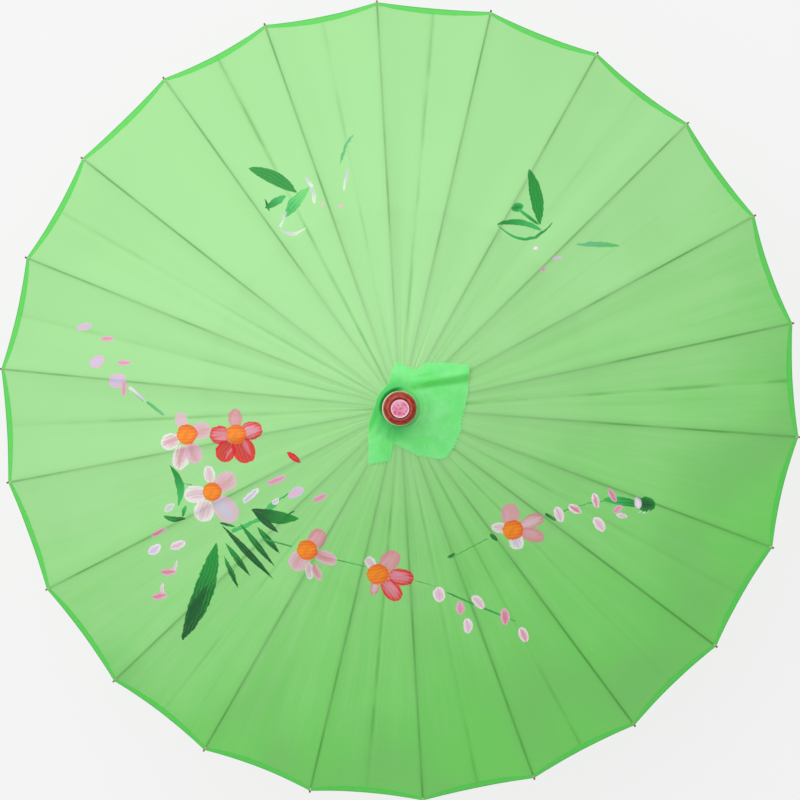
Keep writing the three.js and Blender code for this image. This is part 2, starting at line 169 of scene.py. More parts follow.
def combine(tree, x=0.0, y=0.0, z=0.0):
    return add(tree, "ShaderNodeCombineXYZ", {0: x, 1: y, 2: z})


def radius_of(place):
    """Distance from the pole's axis."""
    return vector_math("LENGTH", stretched(place, 1, 1, 0), output="Value")


def turn_of(place):
    """Direction about the pole's axis, in radians."""
    x, y, _ = split(place)
    return calc("ARCTAN2", y, x)


def field(tree, name, output="Fac"):
    return add(tree, "ShaderNodeAttribute", output=output, attribute_name=name)


def place_mm(tree):
    """Where a point is at rest, in millimetres, in the parasol's own frame."""
    return stretched(add(tree, "ShaderNodeTexCoord", output="Object"), 1000, 1000, 1000)


def worn(tree, amount):
    """Near 1 on sharp outer edges, where a finish rubs through."""
    point = add(tree, "ShaderNodeNewGeometry", output="Pointiness")
    return ramp(point, 0.51, 0.6) * amount


def bump(height, distance_mm):
    values = {"Height": height, "Distance": distance_mm * MM, "Strength": 1.0}
    return add(height.tree, "ShaderNodeBump", values)


def rgb(*screen):
    """A colour given as it looks on a screen, 0 to 255, as the linear colour that nodes take."""
    linear = [(c / 255 / 12.92) if c < 11 else ((c / 255 + 0.055) / 1.055) ** 2.4 for c in screen]
    return (*linear, 1.0)


def surface(colour, roughness, normal, **more):
    """The main shader. more sets its other inputs, with underscores for the spaces in their names."""
    values = {"Base Color": colour, "Roughness": roughness, "Normal": normal}
    values.update({name.replace("_", " "): value for name, value in more.items()})
    return add(colour.tree, "ShaderNodeBsdfPrincipled", values)


def see_through(face, colour, normal, share):
    """Lets a share of the light through a thin cloth."""
    through = add(face.tree, "ShaderNodeBsdfTranslucent", {"Color": colour, "Normal": normal})
    return add(face.tree, "ShaderNodeMixShader", {0: share, 1: face, 2: through})


def material(name, shader_of, *given):
    """A material with the shader that a function makes in its node tree."""
    made = bpy.data.materials.new(name)
    made.use_nodes = True
    tree = made.node_tree
    tree.nodes.clear()
    shader = shader_of(tree, *given)
    tree.links.new(shader.socket, tree.nodes.new("ShaderNodeOutputMaterial").inputs[0])
    return made

# ---------------------------------------------------------------- camera, lights and floor


def make_camera():
    """Looks down on the open parasol, from a little towards +Y."""
    distance = 3.0
    tilt = math.radians(1.8)
    target = Vector((0, 0.003, 0.371))
    data = bpy.data.cameras.new("camera")
    data.sensor_width = 36
    data.lens = 44.06 * distance
    camera = add_object("camera", data)
    camera.location = target + distance * Vector((0, math.sin(tilt), math.cos(tilt)))
    camera.rotation_euler = (-tilt, 0, 0)
    bpy.context.scene.camera = camera


def make_lamp():
    """A broad round lamp, high up and towards the upper left of the view."""
    data = bpy.data.lights.new("key_lamp", "AREA")
    data.shape = "DISK"
    data.size = 2.6
    data.energy = 39.5
    lamp = add_object("key_lamp", data)
    lamp.location = (-0.55, 0.8, 2.5)
    away = lamp.location - Vector((0, 0, 0.45))
    lamp.rotation_euler = away.to_track_quat("Z", "Y").to_euler()


def make_world():
    """A pale room: bright walls all round and a softer ceiling."""
    world = bpy.data.worlds.new("studio")
    world.use_nodes = True
    tree = world.node_tree
    _, _, height = split(add(tree, "ShaderNodeTexCoord", output="Generated"))
    background = tree.nodes["Background"]
    background.inputs["Color"].default_value = (1, 1, 1, 1)
    tree.links.new(ramp(height, 0.14, 0.4, 0.9, 0.4).socket, background.inputs["Strength"])
    bpy.context.scene.world = world


def make_floor():
    """A round floor, large enough to fill the view."""
    mesh = bpy.data.meshes.new("floor")
    radius, corners = 6, 96
    turn = np.linspace(0, 2 * math.pi, corners + 1)[:-1]
    rim = [(radius * math.cos(a), radius * math.sin(a), 0) for a in turn]
    mesh.from_pydata(rim, [], [range(corners)])
    made = add_object("floor", mesh)
    return made


make_camera()
make_lamp()
make_world()
bpy.context.scene.view_settings.view_transform = "Standard"
floor = make_floor()

# ---------------------------------------------------------------- the cloth's shape

# Each gap between two ribs has its own slack, folds and rim. Gap g lies between ribs g and g + 1.
FOLDS = 4
CLOTH_LIFT = 0.45  # from a rib's upper face to the cloth
CROWN_TOP = 518.95
gore_sag = rng.uniform(1.7, 2.7, RIB_COUNT)
gore_rim = rng.uniform(0.3, 3.0, RIB_COUNT)
gore_tone = rng.uniform(0, 1, RIB_COUNT)
gore_crease = rng.uniform(-0.6, 1.0, RIB_COUNT).clip(0, 1)
fold_height = rng.uniform(0.08, 0.34, (RIB_COUNT, FOLDS))
fold_count = rng.uniform(0.7, 3.2, (RIB_COUNT, FOLDS))
fold_place = rng.uniform(0, 1, (RIB_COUNT, FOLDS))
fold_drift = rng.uniform(-0.7, 0.7, (RIB_COUNT, FOLDS))


def smooth(low, high, value):
    """0 below low, 1 above high, and a soft step between."""
    t = np.clip((value - low) / (high - low), 0, 1)
    return t * t * (3 - 2 * t)


def gore_of(c):
    """The gap that a place lies in, and the share of the way across it."""
    whole = np.floor(c + 1e-9)
    return whole.astype(int) % RIB_COUNT, np.clip(c - whole, 0, 1)


def rib_top(r):
    """Height of a rib's upper face at a radius."""
    s = (r - HINGE_RADIUS) / math.cos(SLOPE)
    camber = 16 * (s / RIB_LENGTH) * (1 - s / RIB_LENGTH)
    half = 1.3 - 0.4 * np.clip((s - 230) / (RIB_LENGTH - 230), 0, 1)
    return HINGE_HEIGHT - s * math.sin(SLOPE) + (camber + half) / math.cos(SLOPE)


def crown_height(r):
    """Height of the cloth over a rib: flat over the hub, then down the rib."""
    start, end = 17.8, 36.0
    t = np.clip((r - start) / (end - start), 0, 1)
    fall = (rib_top(end + 0.5) - rib_top(end - 0.5)) * (end - start)
    low = rib_top(end) + CLOTH_LIFT
    share = 3 * t**2 - 2 * t**3
    curve = (1 - share) * CROWN_TOP + share * low + (t**3 - t**2) * fall
    return np.where(r < end, curve, rib_top(r) + CLOTH_LIFT)


def rim_radius(c):
    gore, q = gore_of(c)
    return RIM_RADIUS - gore_rim[gore] * 4 * q * (1 - q)


def hem_width(c):
    """The folded hem is narrow at a rib and wide between two."""
    _, q = gore_of(c)
    return 2.8 + 3.2 * (4 * q * (1 - q)) ** 0.8


def cloth(c, r):
    """A point of the canopy, in millimetres, for arrays of rib counts and radii."""
    gore, q = gore_of(c)
    before, after = azimuth(np.floor(c + 1e-9)), azimuth(np.floor(c + 1e-9) + 1)
    x = r * ((1 - q) * np.cos(before) + q * np.cos(after))
    y = r * ((1 - q) * np.sin(before) + q * np.sin(after))
    glued = np.minimum(1.5 / (r * STEP), 0.3)
    across = np.clip((np.minimum(q, 1 - q) - glued) / (0.5 - glued), 0, 1)
    dip = 1 - (1 - across) ** 2
    share = smooth(20, 260, r)
    window = (4 * q * (1 - q)) ** 0.8 * np.minimum(1, across * 3)
    height = crown_height(r) - gore_sag[gore] * share * dip
    folds = 0
    for i in range(FOLDS):
        wave = fold_count[gore, i] * q + fold_place[gore, i] + fold_drift[gore, i] * r / 400
        folds = folds + fold_height[gore, i] * np.sin(2 * math.pi * wave)
    height = height + folds * window * smooth(30, 190, r)
    pleats = np.sin(2 * math.pi * (3 * q + fold_place[gore, 0])) + 0.6 * np.sin(
        2 * math.pi * (5 * q + fold_place[gore, 1])
    )
    height = height + 0.22 * pleats * window * smooth(24, 40, r) * np.exp(-(r - 30) / 70)
    middle = np.clip(1 - np.abs(q - 0.5) * r * STEP / 5, 0, 1)
    height = height - 0.55 * gore_crease[gore] * middle * smooth(40, 120, r)
    pull = 1 - 0.9 * share * dip / r
    return np.stack([x * pull, y * pull, height], -1)


def upward(surface, c, r):
    """Unit normals of a surface function, from points a little to each side."""
    step = 0.45
    dc = step / (r * STEP)
    round_it = surface(c + dc, r) - surface(c - dc, r)
    outward = surface(c, r + step) - surface(c, r - step)
    normal = np.cross(round_it, outward)
    return normal / np.linalg.norm(normal, axis=-1, keepdims=True)

# ---------------------------------------------------------------- making meshes


def grid_mesh(name, points, normals=None, closed=False, fields=None):
    """A smooth mesh of rows of points, in millimetres. closed joins the last column to the first."""
    rows, columns = points.shape[:2]
    index = np.arange(rows * columns).reshape(rows, columns)
    if closed:
        index = np.concatenate([index, index[:, :1]], 1)
    corners = [index[:-1, :-1], index[:-1, 1:], index[1:, 1:], index[1:, :-1]]
    quads = np.stack(corners, -1).reshape(-1, 4)
    mesh = bpy.data.meshes.new(name)
    mesh.from_pydata((points.reshape(-1, 3) * MM).tolist(), [], quads.tolist())
    mesh.shade_smooth()
    for field, values in (fields or {}).items():
        flat = np.ascontiguousarray(values, np.float32).reshape(rows * columns, -1)
        kind, key = ("FLOAT", "value") if flat.shape[1] == 1 else ("FLOAT_VECTOR", "vector")
        mesh.attributes.new(field, kind, "POINT").data.foreach_set(key, flat.ravel())
    if normals is not None:
        mesh.normals_split_custom_set_from_vertices(normals.reshape(-1, 3).tolist())
    return add_object(name, mesh)


def rounded(profile, radius):
    """A profile of (radius, height) pairs with its corners rounded."""
    out = [profile[0]]
    for before, corner, after in zip(profile, profile[1:], profile[2:]):
        before, corner, after = Vector(before), Vector(corner), Vector(after)
        to_before, to_after = before - corner, after - corner
        a = corner + to_before.normalized() * min(radius, to_before.length * 0.45)
        b = corner + to_after.normalized() * min(radius, to_after.length * 0.45)
        for t in (0, 0.25, 0.5, 0.75, 1):
            out.append(tuple(a.lerp(corner, t).lerp(corner.lerp(b, t), t)))
    out.append(profile[-1])
    return out


def made_mesh(name, made):
    """Turns a bmesh into an object."""
    mesh = bpy.data.meshes.new(name)
    made.to_mesh(mesh)
    made.free()
    return add_object(name, mesh)


def lathe(name, profile, segments=96, radius=0.5, loop=False, centre=(0, 0)):
    """A turned piece about +Z. Its profile starts and ends on the axis, or loop closes it on itself."""
    made = bmesh.new()
    spots = [made.verts.new((r * MM, 0, z * MM)) for r, z in rounded(profile, radius)]
    ends = spots[1:] + spots[:1] if loop else spots[1:]
    edges = [made.edges.new(pair) for pair in zip(spots, ends)]
    turn = {"axis": (0, 0, 1), "angle": 2 * math.pi, "steps": segments, "use_merge": True}
    bmesh.ops.spin(made, geom=spots + edges, **turn)
    bmesh.ops.remove_doubles(made, verts=made.verts, dist=1e-7)
    bmesh.ops.translate(made, verts=made.verts, vec=(centre[0] * MM, centre[1] * MM, 0))
    bmesh.ops.recalc_face_normals(made, faces=made.faces)
    piece = made_mesh(name, made)
    piece.data.shade_smooth()
    piece.data.set_sharp_from_angle(angle=math.radians(50))
    return piece


def tube(name, path, radius, sides=8):
    """A round tube along a path of points, in millimetres, with closed ends."""
    path = np.array(path, float)
    ahead = np.gradient(path, axis=0)
    ahead /= np.linalg.norm(ahead, axis=1, keepdims=True)
    side = np.cross(ahead, [0, 0, 1.0])
    side /= np.linalg.norm(side, axis=1, keepdims=True)
    up = np.cross(side, ahead)
    turn = np.arange(sides) * 2 * math.pi / sides
    ring = np.cos(turn)[None, :, None] * side[:, None] + np.sin(turn)[None, :, None] * up[:, None]
    size = np.full(len(path) + 2, radius)
    size[[0, -1]] = 1e-4
    path = np.concatenate([path[:1], path, path[-1:]])
    ring = np.concatenate([ring[:1], ring, ring[-1:]])
    return grid_mesh(name, path[:, None] + ring * size[:, None, None], closed=True)

# ---------------------------------------------------------------- canopy panels

# Columns of a panel, counted in ribs from its own rib and closest together beside it.
HALF_COLUMNS = [0.006, 0.013, 0.022, 0.035, 0.055, 0.085, 0.125, 0.17]
HALF_COLUMNS += [0.22, 0.27, 0.32, 0.37, 0.42, 0.46, 0.485, 0.5]
COLUMNS = np.array([-u for u in reversed(HALF_COLUMNS)] + [0.0] + HALF_COLUMNS)
CANOPY_START = 15.0
# How far from the rim each row of the hem lies, in hem widths.
HEM_ROWS = [1.7, 1.3, 1.06, 1.0, 0.94, 0.7, 0.4, 0.15, 0.0]
HEM_UNDER_ROWS = [0.0, 0.5, 1.0]
HEM_LIFT, HEM_DROP = 0.2, 0.12


def canopy_panel(k):
    """The cloth on one rib, out to midway to the ribs beside it, with its hem folded under."""
    c = k + COLUMNS
    edge, hem = rim_radius(c), hem_width(c)
    start = edge - HEM_ROWS[0] * hem
    shares = np.concatenate([np.linspace(0, 0.12, 12)[:-1], np.linspace(0.12, 1, 50)[:-1]])
    radii = [CANOPY_START + (start - CANOPY_START) * t for t in shares]
    radii += [edge - t * hem for t in HEM_ROWS]
    r = np.array(radii)
    cc = np.broadcast_to(c, r.shape)
    points, normals = cloth(cc, r), upward(cloth, cc, r)
    from_rim = (edge - r) / hem
    points[..., 2] += HEM_LIFT * (1 - smooth(0.94, 1.06, from_rim))

    outward = normals[-1] * 0
    outward[:, 0], outward[:, 1] = np.cos(azimuth(c)), np.sin(azimuth(c))
    under_r = np.array([edge - t * hem for t in HEM_UNDER_ROWS])
    under_c = np.broadcast_to(c, under_r.shape)
    under = cloth(under_c, under_r)
    under[..., 2] -= HEM_DROP
    fold = (points[-1:] + under[:1]) / 2 + outward * (HEM_LIFT + HEM_DROP) / 2
    points = np.concatenate([points, fold, under])
    normals = np.concatenate([normals, outward[None], -upward(cloth, under_c, under_r)])
    from_rim = np.concatenate([from_rim, from_rim[-1:], np.array(HEM_UNDER_ROWS)[:, None] + 0 * under_r])
    all_r = np.concatenate([r, r[-1:], under_r])
    gore, q = gore_of(np.broadcast_to(c, all_r.shape))
    crease_shade = gore_crease[gore] * np.clip(1 - np.abs(q - 0.5) * all_r * STEP / 2.4, 0, 1)
    fields = {
        "rest": points,
        "lane": np.broadcast_to(COLUMNS, all_r.shape) * STEP * all_r,
        "from_rim": from_rim,
        "tone": gore_tone[gore],
        "crease_shade": crease_shade,
    }
    return grid_mesh(f"canopy_panel_{label(k)}", points, normals, fields=fields)


def gathers(obj, k):
    """The piece travels with its rib."""
    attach(obj, f"rib_{label(k)}")
    a = azimuth(k)
    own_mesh(obj)
    return obj


canopy = []
for k in range(RIB_COUNT):
    panel = gathers(canopy_panel(k), k)
    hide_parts("canopy")
    f"rib_{label(k)}"
    canopy.append(panel)

# ---------------------------------------------------------------- cloth on the crown

# Corners of the small cloth, seen from above, and the ones that a pinked edge follows.
HEAD_CORNERS = [
    (68, 41), (53, 43.5), (26, 44), (16, 37), (7, 40), (-2, 45), (-7, 39),
    (-11, 25), (-20, 14), (-25, 1), (-31, -17), (-31, -57.5), (-9.5, -53.5), (-6.5, -36.5),
    (17, -48.5), (39, -52), (47, -50.5), (55, -38.5), (61, -23.5), (64, -2), (67, 16),
]
PINKED = (11, 13, 14, 15, 16, 17, 18)
PINKING_PITCH = 3.5
PINKING_DEPTH = 2.6
HEAD_LEAST = 24.6  # the small cloth reaches this far from the pole all round
HEAD_LIFT = 1.2
PLEAT_START = (20, 21.5)
PLEAT_TILT = math.radians(8)


def head_edge(angle):
    """How far out the small cloth reaches in a direction, with the teeth of its pinked edges."""
    dx, dy = math.cos(angle), math.sin(angle)
    reach = HEAD_LEAST
    for i, (ax, ay) in enumerate(HEAD_CORNERS):
        bx, by = HEAD_CORNERS[(i + 1) % len(HEAD_CORNERS)]
        ex, ey = bx - ax, by - ay
        cross = dx * ey - dy * ex
        if abs(cross) < 1e-9:
            continue
        out, along = (ax * ey - ay * ex) / cross, (ax * dy - ay * dx) / cross
        if out > 0 and 0 <= along <= 1:
            tooth = abs((along * math.hypot(ex, ey) / PINKING_PITCH) % 1 - 0.5) * 2
            reach = max(reach, out - (PINKING_DEPTH * tooth if i in PINKED else 0))
    return reach


def pleat_place(x, y):
    """Distances along and beside the pleat that runs out to the upper right."""
    x, y = x - PLEAT_START[0], y - PLEAT_START[1]
    along = x * math.cos(PLEAT_TILT) + y * math.sin(PLEAT_TILT)
    return along, y * math.cos(PLEAT_TILT) - x * math.sin(PLEAT_TILT)


def double_and_pleat_shade(x, y):
    """1 along the small cloth's left side, where it lies in two layers, and in the pleat, as a mask of
    painted shade.
    """
    along, beside = pleat_place(x, y)
    pleat = smooth(-22, -6, along) * np.exp(-((np.abs(beside - 1) / 4.6) ** 4))
    left = smooth(-17, -20, x - 0.42 * y) * smooth(-30, -20, y) * (1 - smooth(10, 22, y))
    return np.clip(pleat + left, 0, 1)


def head_folds(x, y):
    """Height of the small cloth's own folds above its resting shape."""
    d, a = np.hypot(x, y), np.degrees(np.arctan2(y, x))
    rings = smooth(-95, -60, a) * (1 - smooth(45, 75, a))
    h = 0.95 * rings * np.exp(-(((d - 22) / 6) ** 2)) * np.cos((d - 19.8) * 2 * math.pi / 7.0)
    # The pleat is higher on its upper side.
    along, beside = pleat_place(x, y)
    half = 3.2 + 0.04 * np.clip(along, 0, 60)
    pleat = smooth(-half, half, beside) * np.exp(-np.clip(beside - half, 0, 60) / 13)
    h = h + 4.0 * smooth(-16, 10, along) * pleat
    second = np.exp(-(((beside - half - 8) / 2.2) ** 2)) * smooth(-14, -2, along)
    h = h + 1.3 * second * (1 - smooth(4, 26, along))
    # The left side is turned back, and two soft valleys run down to the lower tab.
    h = h + 1.2 * np.exp(-(((x + 14 - 0.4 * y) / 3.2) ** 2)) * smooth(-32, -20, y) * (1 - smooth(6, 18, y))
    h = h - 1.3 * np.exp(-(((x + 8.5) / 2.4) ** 2)) * smooth(-18, -26, y)
    h = h + 1.2 * np.exp(-(((x + 20 + 0.15 * (y + 40)) / 4.5) ** 2)) * smooth(-24, -36, y)
    h = h + 0.35 * np.sin(x / 7.0 + 0.6) * np.sin(y / 9.0 - 0.4)
    h = h + 0.8 * smooth(0.82, 1.0, d / 74)
    return smooth(16.5, 20, d) * np.maximum(h, -0.9)


def head_cloth(c, r):
    """A point of the small cloth, in millimetres. It lies over the canopy without its pleats."""
    points = cloth(c, r)
    points[..., 2] = crown_height(r) + HEAD_LIFT + head_folds(points[..., 0], points[..., 1])
    return points


def head_piece(name, k, inner, outer_of, rows, columns):
    """The small cloth on one rib, between two distances from the pole."""
    c = k + np.linspace(-0.5, 0.5, columns)
    edge = np.array([outer_of(azimuth(value)) for value in c])
    share = np.linspace(0, 1, rows)[:, None]
    r = inner + (edge - inner) * share
    cc = np.broadcast_to(c, r.shape)
    points = head_cloth(cc, r)
    fields = {"rest": points, "from_edge": edge - r, "double_and_shade": double_and_pleat_shade(points[..., 0], points[..., 1])}
    return grid_mesh(name, points, upward(head_cloth, cc, r), fields=fields)


def declare_wedge(k):
    """Forms the name of the rib's canopy panel and does nothing with it."""
    f"canopy_panel_{label(k)}"


HEAD_START = 19.5
GATHER_START, GATHER_END = 11.4, 24.0

head_wedges, head_gathers = [], []
for k in range(RIB_COUNT):
    wedge = head_piece(f"head_cloth_{label(k)}", k, HEAD_START, head_edge, 30, 41)
    gathers(wedge, k)
    reach = [head_edge(azimuth(k + u)) for u in np.linspace(-0.5, 0.5, 11)]
    declare_wedge(k)
    head_wedges.append(wedge)

    gather = head_piece(f"head_gather_{label(k)}", k, GATHER_START, lambda angle: GATHER_END, 10, 9)
    gather.location.z = -0.1 * MM
    a = azimuth(k)
    f"rib_{label(k)}"
    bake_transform(gather)
    declare_wedge(k)
    head_gathers.append(gather)
for piece in head_wedges + head_gathers:
    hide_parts("head_cloth")

# ---------------------------------------------------------------- threads

PIVOT_SAG = 0.9
BINDING_TURNS, BINDING_PITCH = 3.5, 0.62
BINDING_START = 404.9
BINDING_WIDE, BINDING_HIGH = 1.32, 1.5  # half the size of its loops


def pivot_path(k):
    """From midway before a rib to midway after it, sagging a little between the ribs."""
    way = np.linspace(-1, 1, 13)
    share = np.abs(way)
    radius = PIVOT_RADIUS * math.cos(STEP / 2) / np.cos((1 - share) * STEP / 2)
    turn = azimuth(k + way / 2)
    return np.stack([radius * np.cos(turn), radius * np.sin(turn), PIVOT_HEIGHT - PIVOT_SAG * share**2], -1)


def binding_path(k):
    """A few turns that bind the cloth's corner to the end of its rib."""
    x, y = math.cos(azimuth(k)), math.sin(azimuth(k))
    laps = np.linspace(0, BINDING_TURNS, 64)
    turn = 2 * math.pi * laps
    middle = rib_top(406.0) - 0.85 - math.sin(SLOPE) * (BINDING_PITCH * laps - 1.1)
    height = middle + BINDING_HIGH * np.sin(turn)
    out, beside = BINDING_START + BINDING_PITCH * laps, BINDING_WIDE * np.cos(turn)
    return np.stack([x * out + y * beside, y * out - x * beside, height], -1)


threads, tip_threads = [], []
for k in range(RIB_COUNT):
    thread = gathers(tube(f"pivot_thread_{label(k)}", pivot_path(k), 0.45), k)
    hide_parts("pivot_thread")
    threads.append(thread)
    wound = tube(f"tip_thread_{label(k)}", binding_path(k), 0.3, 6)
    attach(wound, f"rib_{label(k)}")
    tip_threads.append(wound)
for piece in threads + tip_threads:
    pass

# ---------------------------------------------------------------- turned pieces

FINIAL_BOTTOM = 522.1
TOP = 545.0

WASHER_PROFILE = [(11.7, 520.8), (17, 520.8), (17, 521.8), (11.7, 521.8)]
washer = lathe("washer_disc", WASHER_PROFILE, 96, 0.3, True, centre=(-0.5, -0.5))

FINIAL_PROFILE = [
    (11.0, FINIAL_BOTTOM), (15.0, FINIAL_BOTTOM), (16.2, 523.6), (15.5, 527.6), (15.3, 529.0), (15.9, 532.0),
    (16.25, 536.5), (16.1, 539.6), (15.4, 542.0), (13.9, 543.5), (12.2, 544.0), (9.9, 543.9),
    (9.5, 543.5), (9.5, 538.2), (5.8, 538.2), (5.8, 526.0), (11.0, 526.0),
]
finial = lathe("finial_ring", FINIAL_PROFILE, 128, 1.1, True)

PEG_PROFILE = [
    (0, 538.5), (9.2, 538.5), (9.4, 539.0), (9.4, TOP - 0.5), (8.9, TOP),
    (8.3, TOP), (7.9, TOP - 0.35), (6.0, TOP - 0.3), (3.0, TOP - 0.15), (0, TOP - 0.1),
]
peg = lathe("peg_disc", PEG_PROFILE, 96, 0.35)

HANDLE_PROFILE = [
    (0, 0), (9.8, 0), (11.0, 1.2), (11.5, 5.2), (11.2, 5.7), (11.2, 6.3), (11.6, 6.8), (12.2, 16),
    (12.7, 30), (12.9, 42), (12.6, 54), (11.7, 70), (10.4, 86), (9.5, 95), (9.2, 95.6), (9.2, 96.2),
    (9.4, 96.8), (9.1, 99.4), (10.2, 100.9), (10.3, 102.2), (10.2, 103.5), (9.2, 105), (5.8, 105),
    (5.8, 19.7), (0, 19.7),
]
handle = lathe("handle_grip", HANDLE_PROFILE, 96, 0.6)

COLLAR_PROFILE = [(5.8, 105.3), (8.4, 105.3), (8.8, 105.9), (8.8, 107.5), (7.6, 108.9), (5.8, 108.9)]
collar = lathe("collar_ring", COLLAR_PROFILE, 96, 0.4, True)


def box_mesh(name, low, high):
    """A plain box between two corners, in millimetres."""
    low, high = Vector(low) * MM, Vector(high) * MM
    made = bmesh.new()
    bmesh.ops.create_cube(made, matrix=Matrix.LocRotScale((low + high) / 2, None, high - low))
    return made_mesh(name, made)


def cut(obj, tool):
    """Takes the tool's shape out of a mesh and removes the tool."""
    step = obj.modifiers.new("cut", "BOOLEAN")
    step.operation = "DIFFERENCE"
    step.solver = "EXACT"
    step.object = tool
    shown = obj.evaluated_get(bpy.context.evaluated_depsgraph_get())
    mesh = bpy.data.meshes.new_from_object(shown)
    obj.modifiers.clear()
    obj.data = mesh
    mesh.shade_smooth()
    mesh.set_sharp_from_angle(angle=math.radians(40))
    bpy.data.objects.remove(tool)


POLE_PROFILE = [(0, 20), (4.9, 20), (5.5, 20.6), (5.5, 532.4), (4.9, 533), (0, 533)]
pole = lathe("pole_rod", POLE_PROFILE, 64, 0.4)
cut(pole, box_mesh("catch_slot", (-0.95, -7, 329.6), (0.95, 0, 361.5)))
for piece, node, slot in [
    (washer, "head_washer", "washer"),
    (finial, "finial", "lacquer"),
    (peg, "finial_peg", "peg"),
    (handle, "handle", "handle_wood"),
    (collar, "handle_collar", "brass"),
    (pole, "pole", "pole_wood"),
]:
    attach(piece, "frame")
    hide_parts(node)

# ---------------------------------------------------------------- softened edges of the plain pieces


def soften(node, width):
    """Welds a plain piece's doubled points and rounds its sharp edges."""
    weld = node.modifiers.new("weld", "WELD")
    weld.merge_threshold = 1e-6
    bevel = node.modifiers.new("round", "BEVEL")
    bevel.width = width * MM
    bevel.segments = 2
    bevel.limit_method = "ANGLE"
    bevel.angle_limit = math.radians(35)
    bevel.use_clamp_overlap = True


EDGE_ROUNDING = {"rib": 0.3, "stretcher": 0.35, "top_hub": 0.15, "runner": 0.15, "catch": 0.1}
EDGE_ROUNDING["hub_pin"] = 0.15
for name, node in cad.items():
    for kind, width in EDGE_ROUNDING.items():
        if name.startswith(kind):
            soften(node, width)

# ---------------------------------------------------------------- paint on the canopy


def make_stroke_group():
    """One brush stroke laid over what is already painted. It swells and tapers between its two ends.

    Power is 0.1 for an even line, 0.5 for an oval and 1 for a leaf. Rim picks whether its two colours
    follow each other along the stroke, at 0, or fill its middle and its edge, at 1.
    """
    tree = bpy.data.node_groups.new("brush_stroke", "ShaderNodeTree")
    kinds = {"Colour": "Color", "First": "Color", "Second": "Color"}
    kinds.update({name: "Vector" for name in ("Place", "Start", "Ahead")})
    kinds.update({name: "Float" for name in ("Grain", "Length", "Width", "Power", "Bend", "Rim", "Cover")})
    for name, kind in kinds.items():
        tree.interface.new_socket(name, in_out="INPUT", socket_type=f"NodeSocket{kind}")
    tree.interface.new_socket("Colour", in_out="OUTPUT", socket_type="NodeSocketColor")
    sockets = tree.nodes.new("NodeGroupInput").outputs
    given = {name: Wire(tree, sockets[name]) for name in kinds}

    from_start = vector_math("SUBTRACT", given["Place"], given["Start"])
    side = vector_math("CROSS_PRODUCT", given["Ahead"], (0, 0, 1))
    ahead_mm = vector_math("DOT_PRODUCT", from_start, given["Ahead"], "Value")
    side_mm = vector_math("DOT_PRODUCT", from_start, side, "Value")
    along = ahead_mm / given["Length"]
    swell = calc("MAXIMUM", along * (1.0 - along) * 4.0, 0.0)
    taper = calc("POWER", calc("ADD", swell, 0.0, clamp=True), given["Power"])
    bent = side_mm - swell * given["Bend"]
    depth = taper * given["Width"] - calc("ABSOLUTE", bent)

    # The bristles leave wavy streaks along the stroke.
    sway = calc("SINE", ahead_mm * 0.16 + given["Length"])
    broad = calc("SINE", bent * 1.9 + sway * 1.4)
    narrow = calc("SINE", bent * 4.7 + sway * -2.3)
    bristle = broad * 0.16 + narrow * 0.12 + 0.25 + given["Grain"] * 0.5
    ragged = depth + (given["Grain"] - 0.56) * 1.5
    mask = ramp(ragged, 0.0, 0.6) * calc("GREATER_THAN", swell, 0.0)
    cover = mask * ramp(bristle, 0.25, 0.5, 0.88, 1.0) * given["Cover"]

    by_edge = (1.0 - depth / given["Width"]) * given["Rim"]
    by_length = along * (1.0 - given["Rim"])
    blend = by_edge + by_length + (bristle - 0.5) * 0.65
    paint = mix(ramp(blend, 0.2, 0.85), given["First"], given["Second"])
    laid = mix(cover, given["Colour"], paint)
    tree.links.new(laid.socket, tree.nodes.new("NodeGroupOutput").inputs["Colour"])
    return tree


STROKE_GROUP = make_stroke_group()

WHITE = rgb(250, 240, 246)
BLUSH = rgb(234, 188, 212)
ROSE = rgb(226, 128, 152)
PINK = rgb(230, 150, 176)
RED = rgb(230, 2, 32)
CRIMSON = rgb(214, 24, 48)
ORANGE = rgb(255, 146, 0)
AMBER = rgb(238, 106, 0)
LEAF = rgb(4, 146, 48)
PINE = rgb(0, 92, 34)
MINT = rgb(52, 186, 92)
TEAL = rgb(92, 184, 134)
LILAC = rgb(214, 200, 236)

strokes = []


def stroke(start, end, width, power, first, second, bend=0.0, rim=0.0, cover=1.0):
    """Adds a stroke between two places on the canopy, in millimetres. Its width is half its breadth."""
    made = {"Start": Vector((*start, 0)), "End": Vector((*end, 0)), "Width": width, "Power": power}
    made.update({"First": first, "Second": second, "Bend": bend, "Rim": rim, "Cover": cover})
    strokes.append(made)


def dab(x, y, angle, long, half, first, second, rim=0.8, cover=1.0, power=0.5):
    """An oval stroke about its middle, long and half being half its length and half its breadth."""
    dx, dy = long * math.cos(math.radians(angle)), long * math.sin(math.radians(angle))
    stroke((x - dx, y - dy), (x + dx, y + dy), half, power, first, second, rim=rim, cover=cover)


def line(points, width, first, second, cover=0.9):
    for a, b in zip(points, points[1:]):
        stroke(a, b, width, 0.12, first, second, cover=cover)


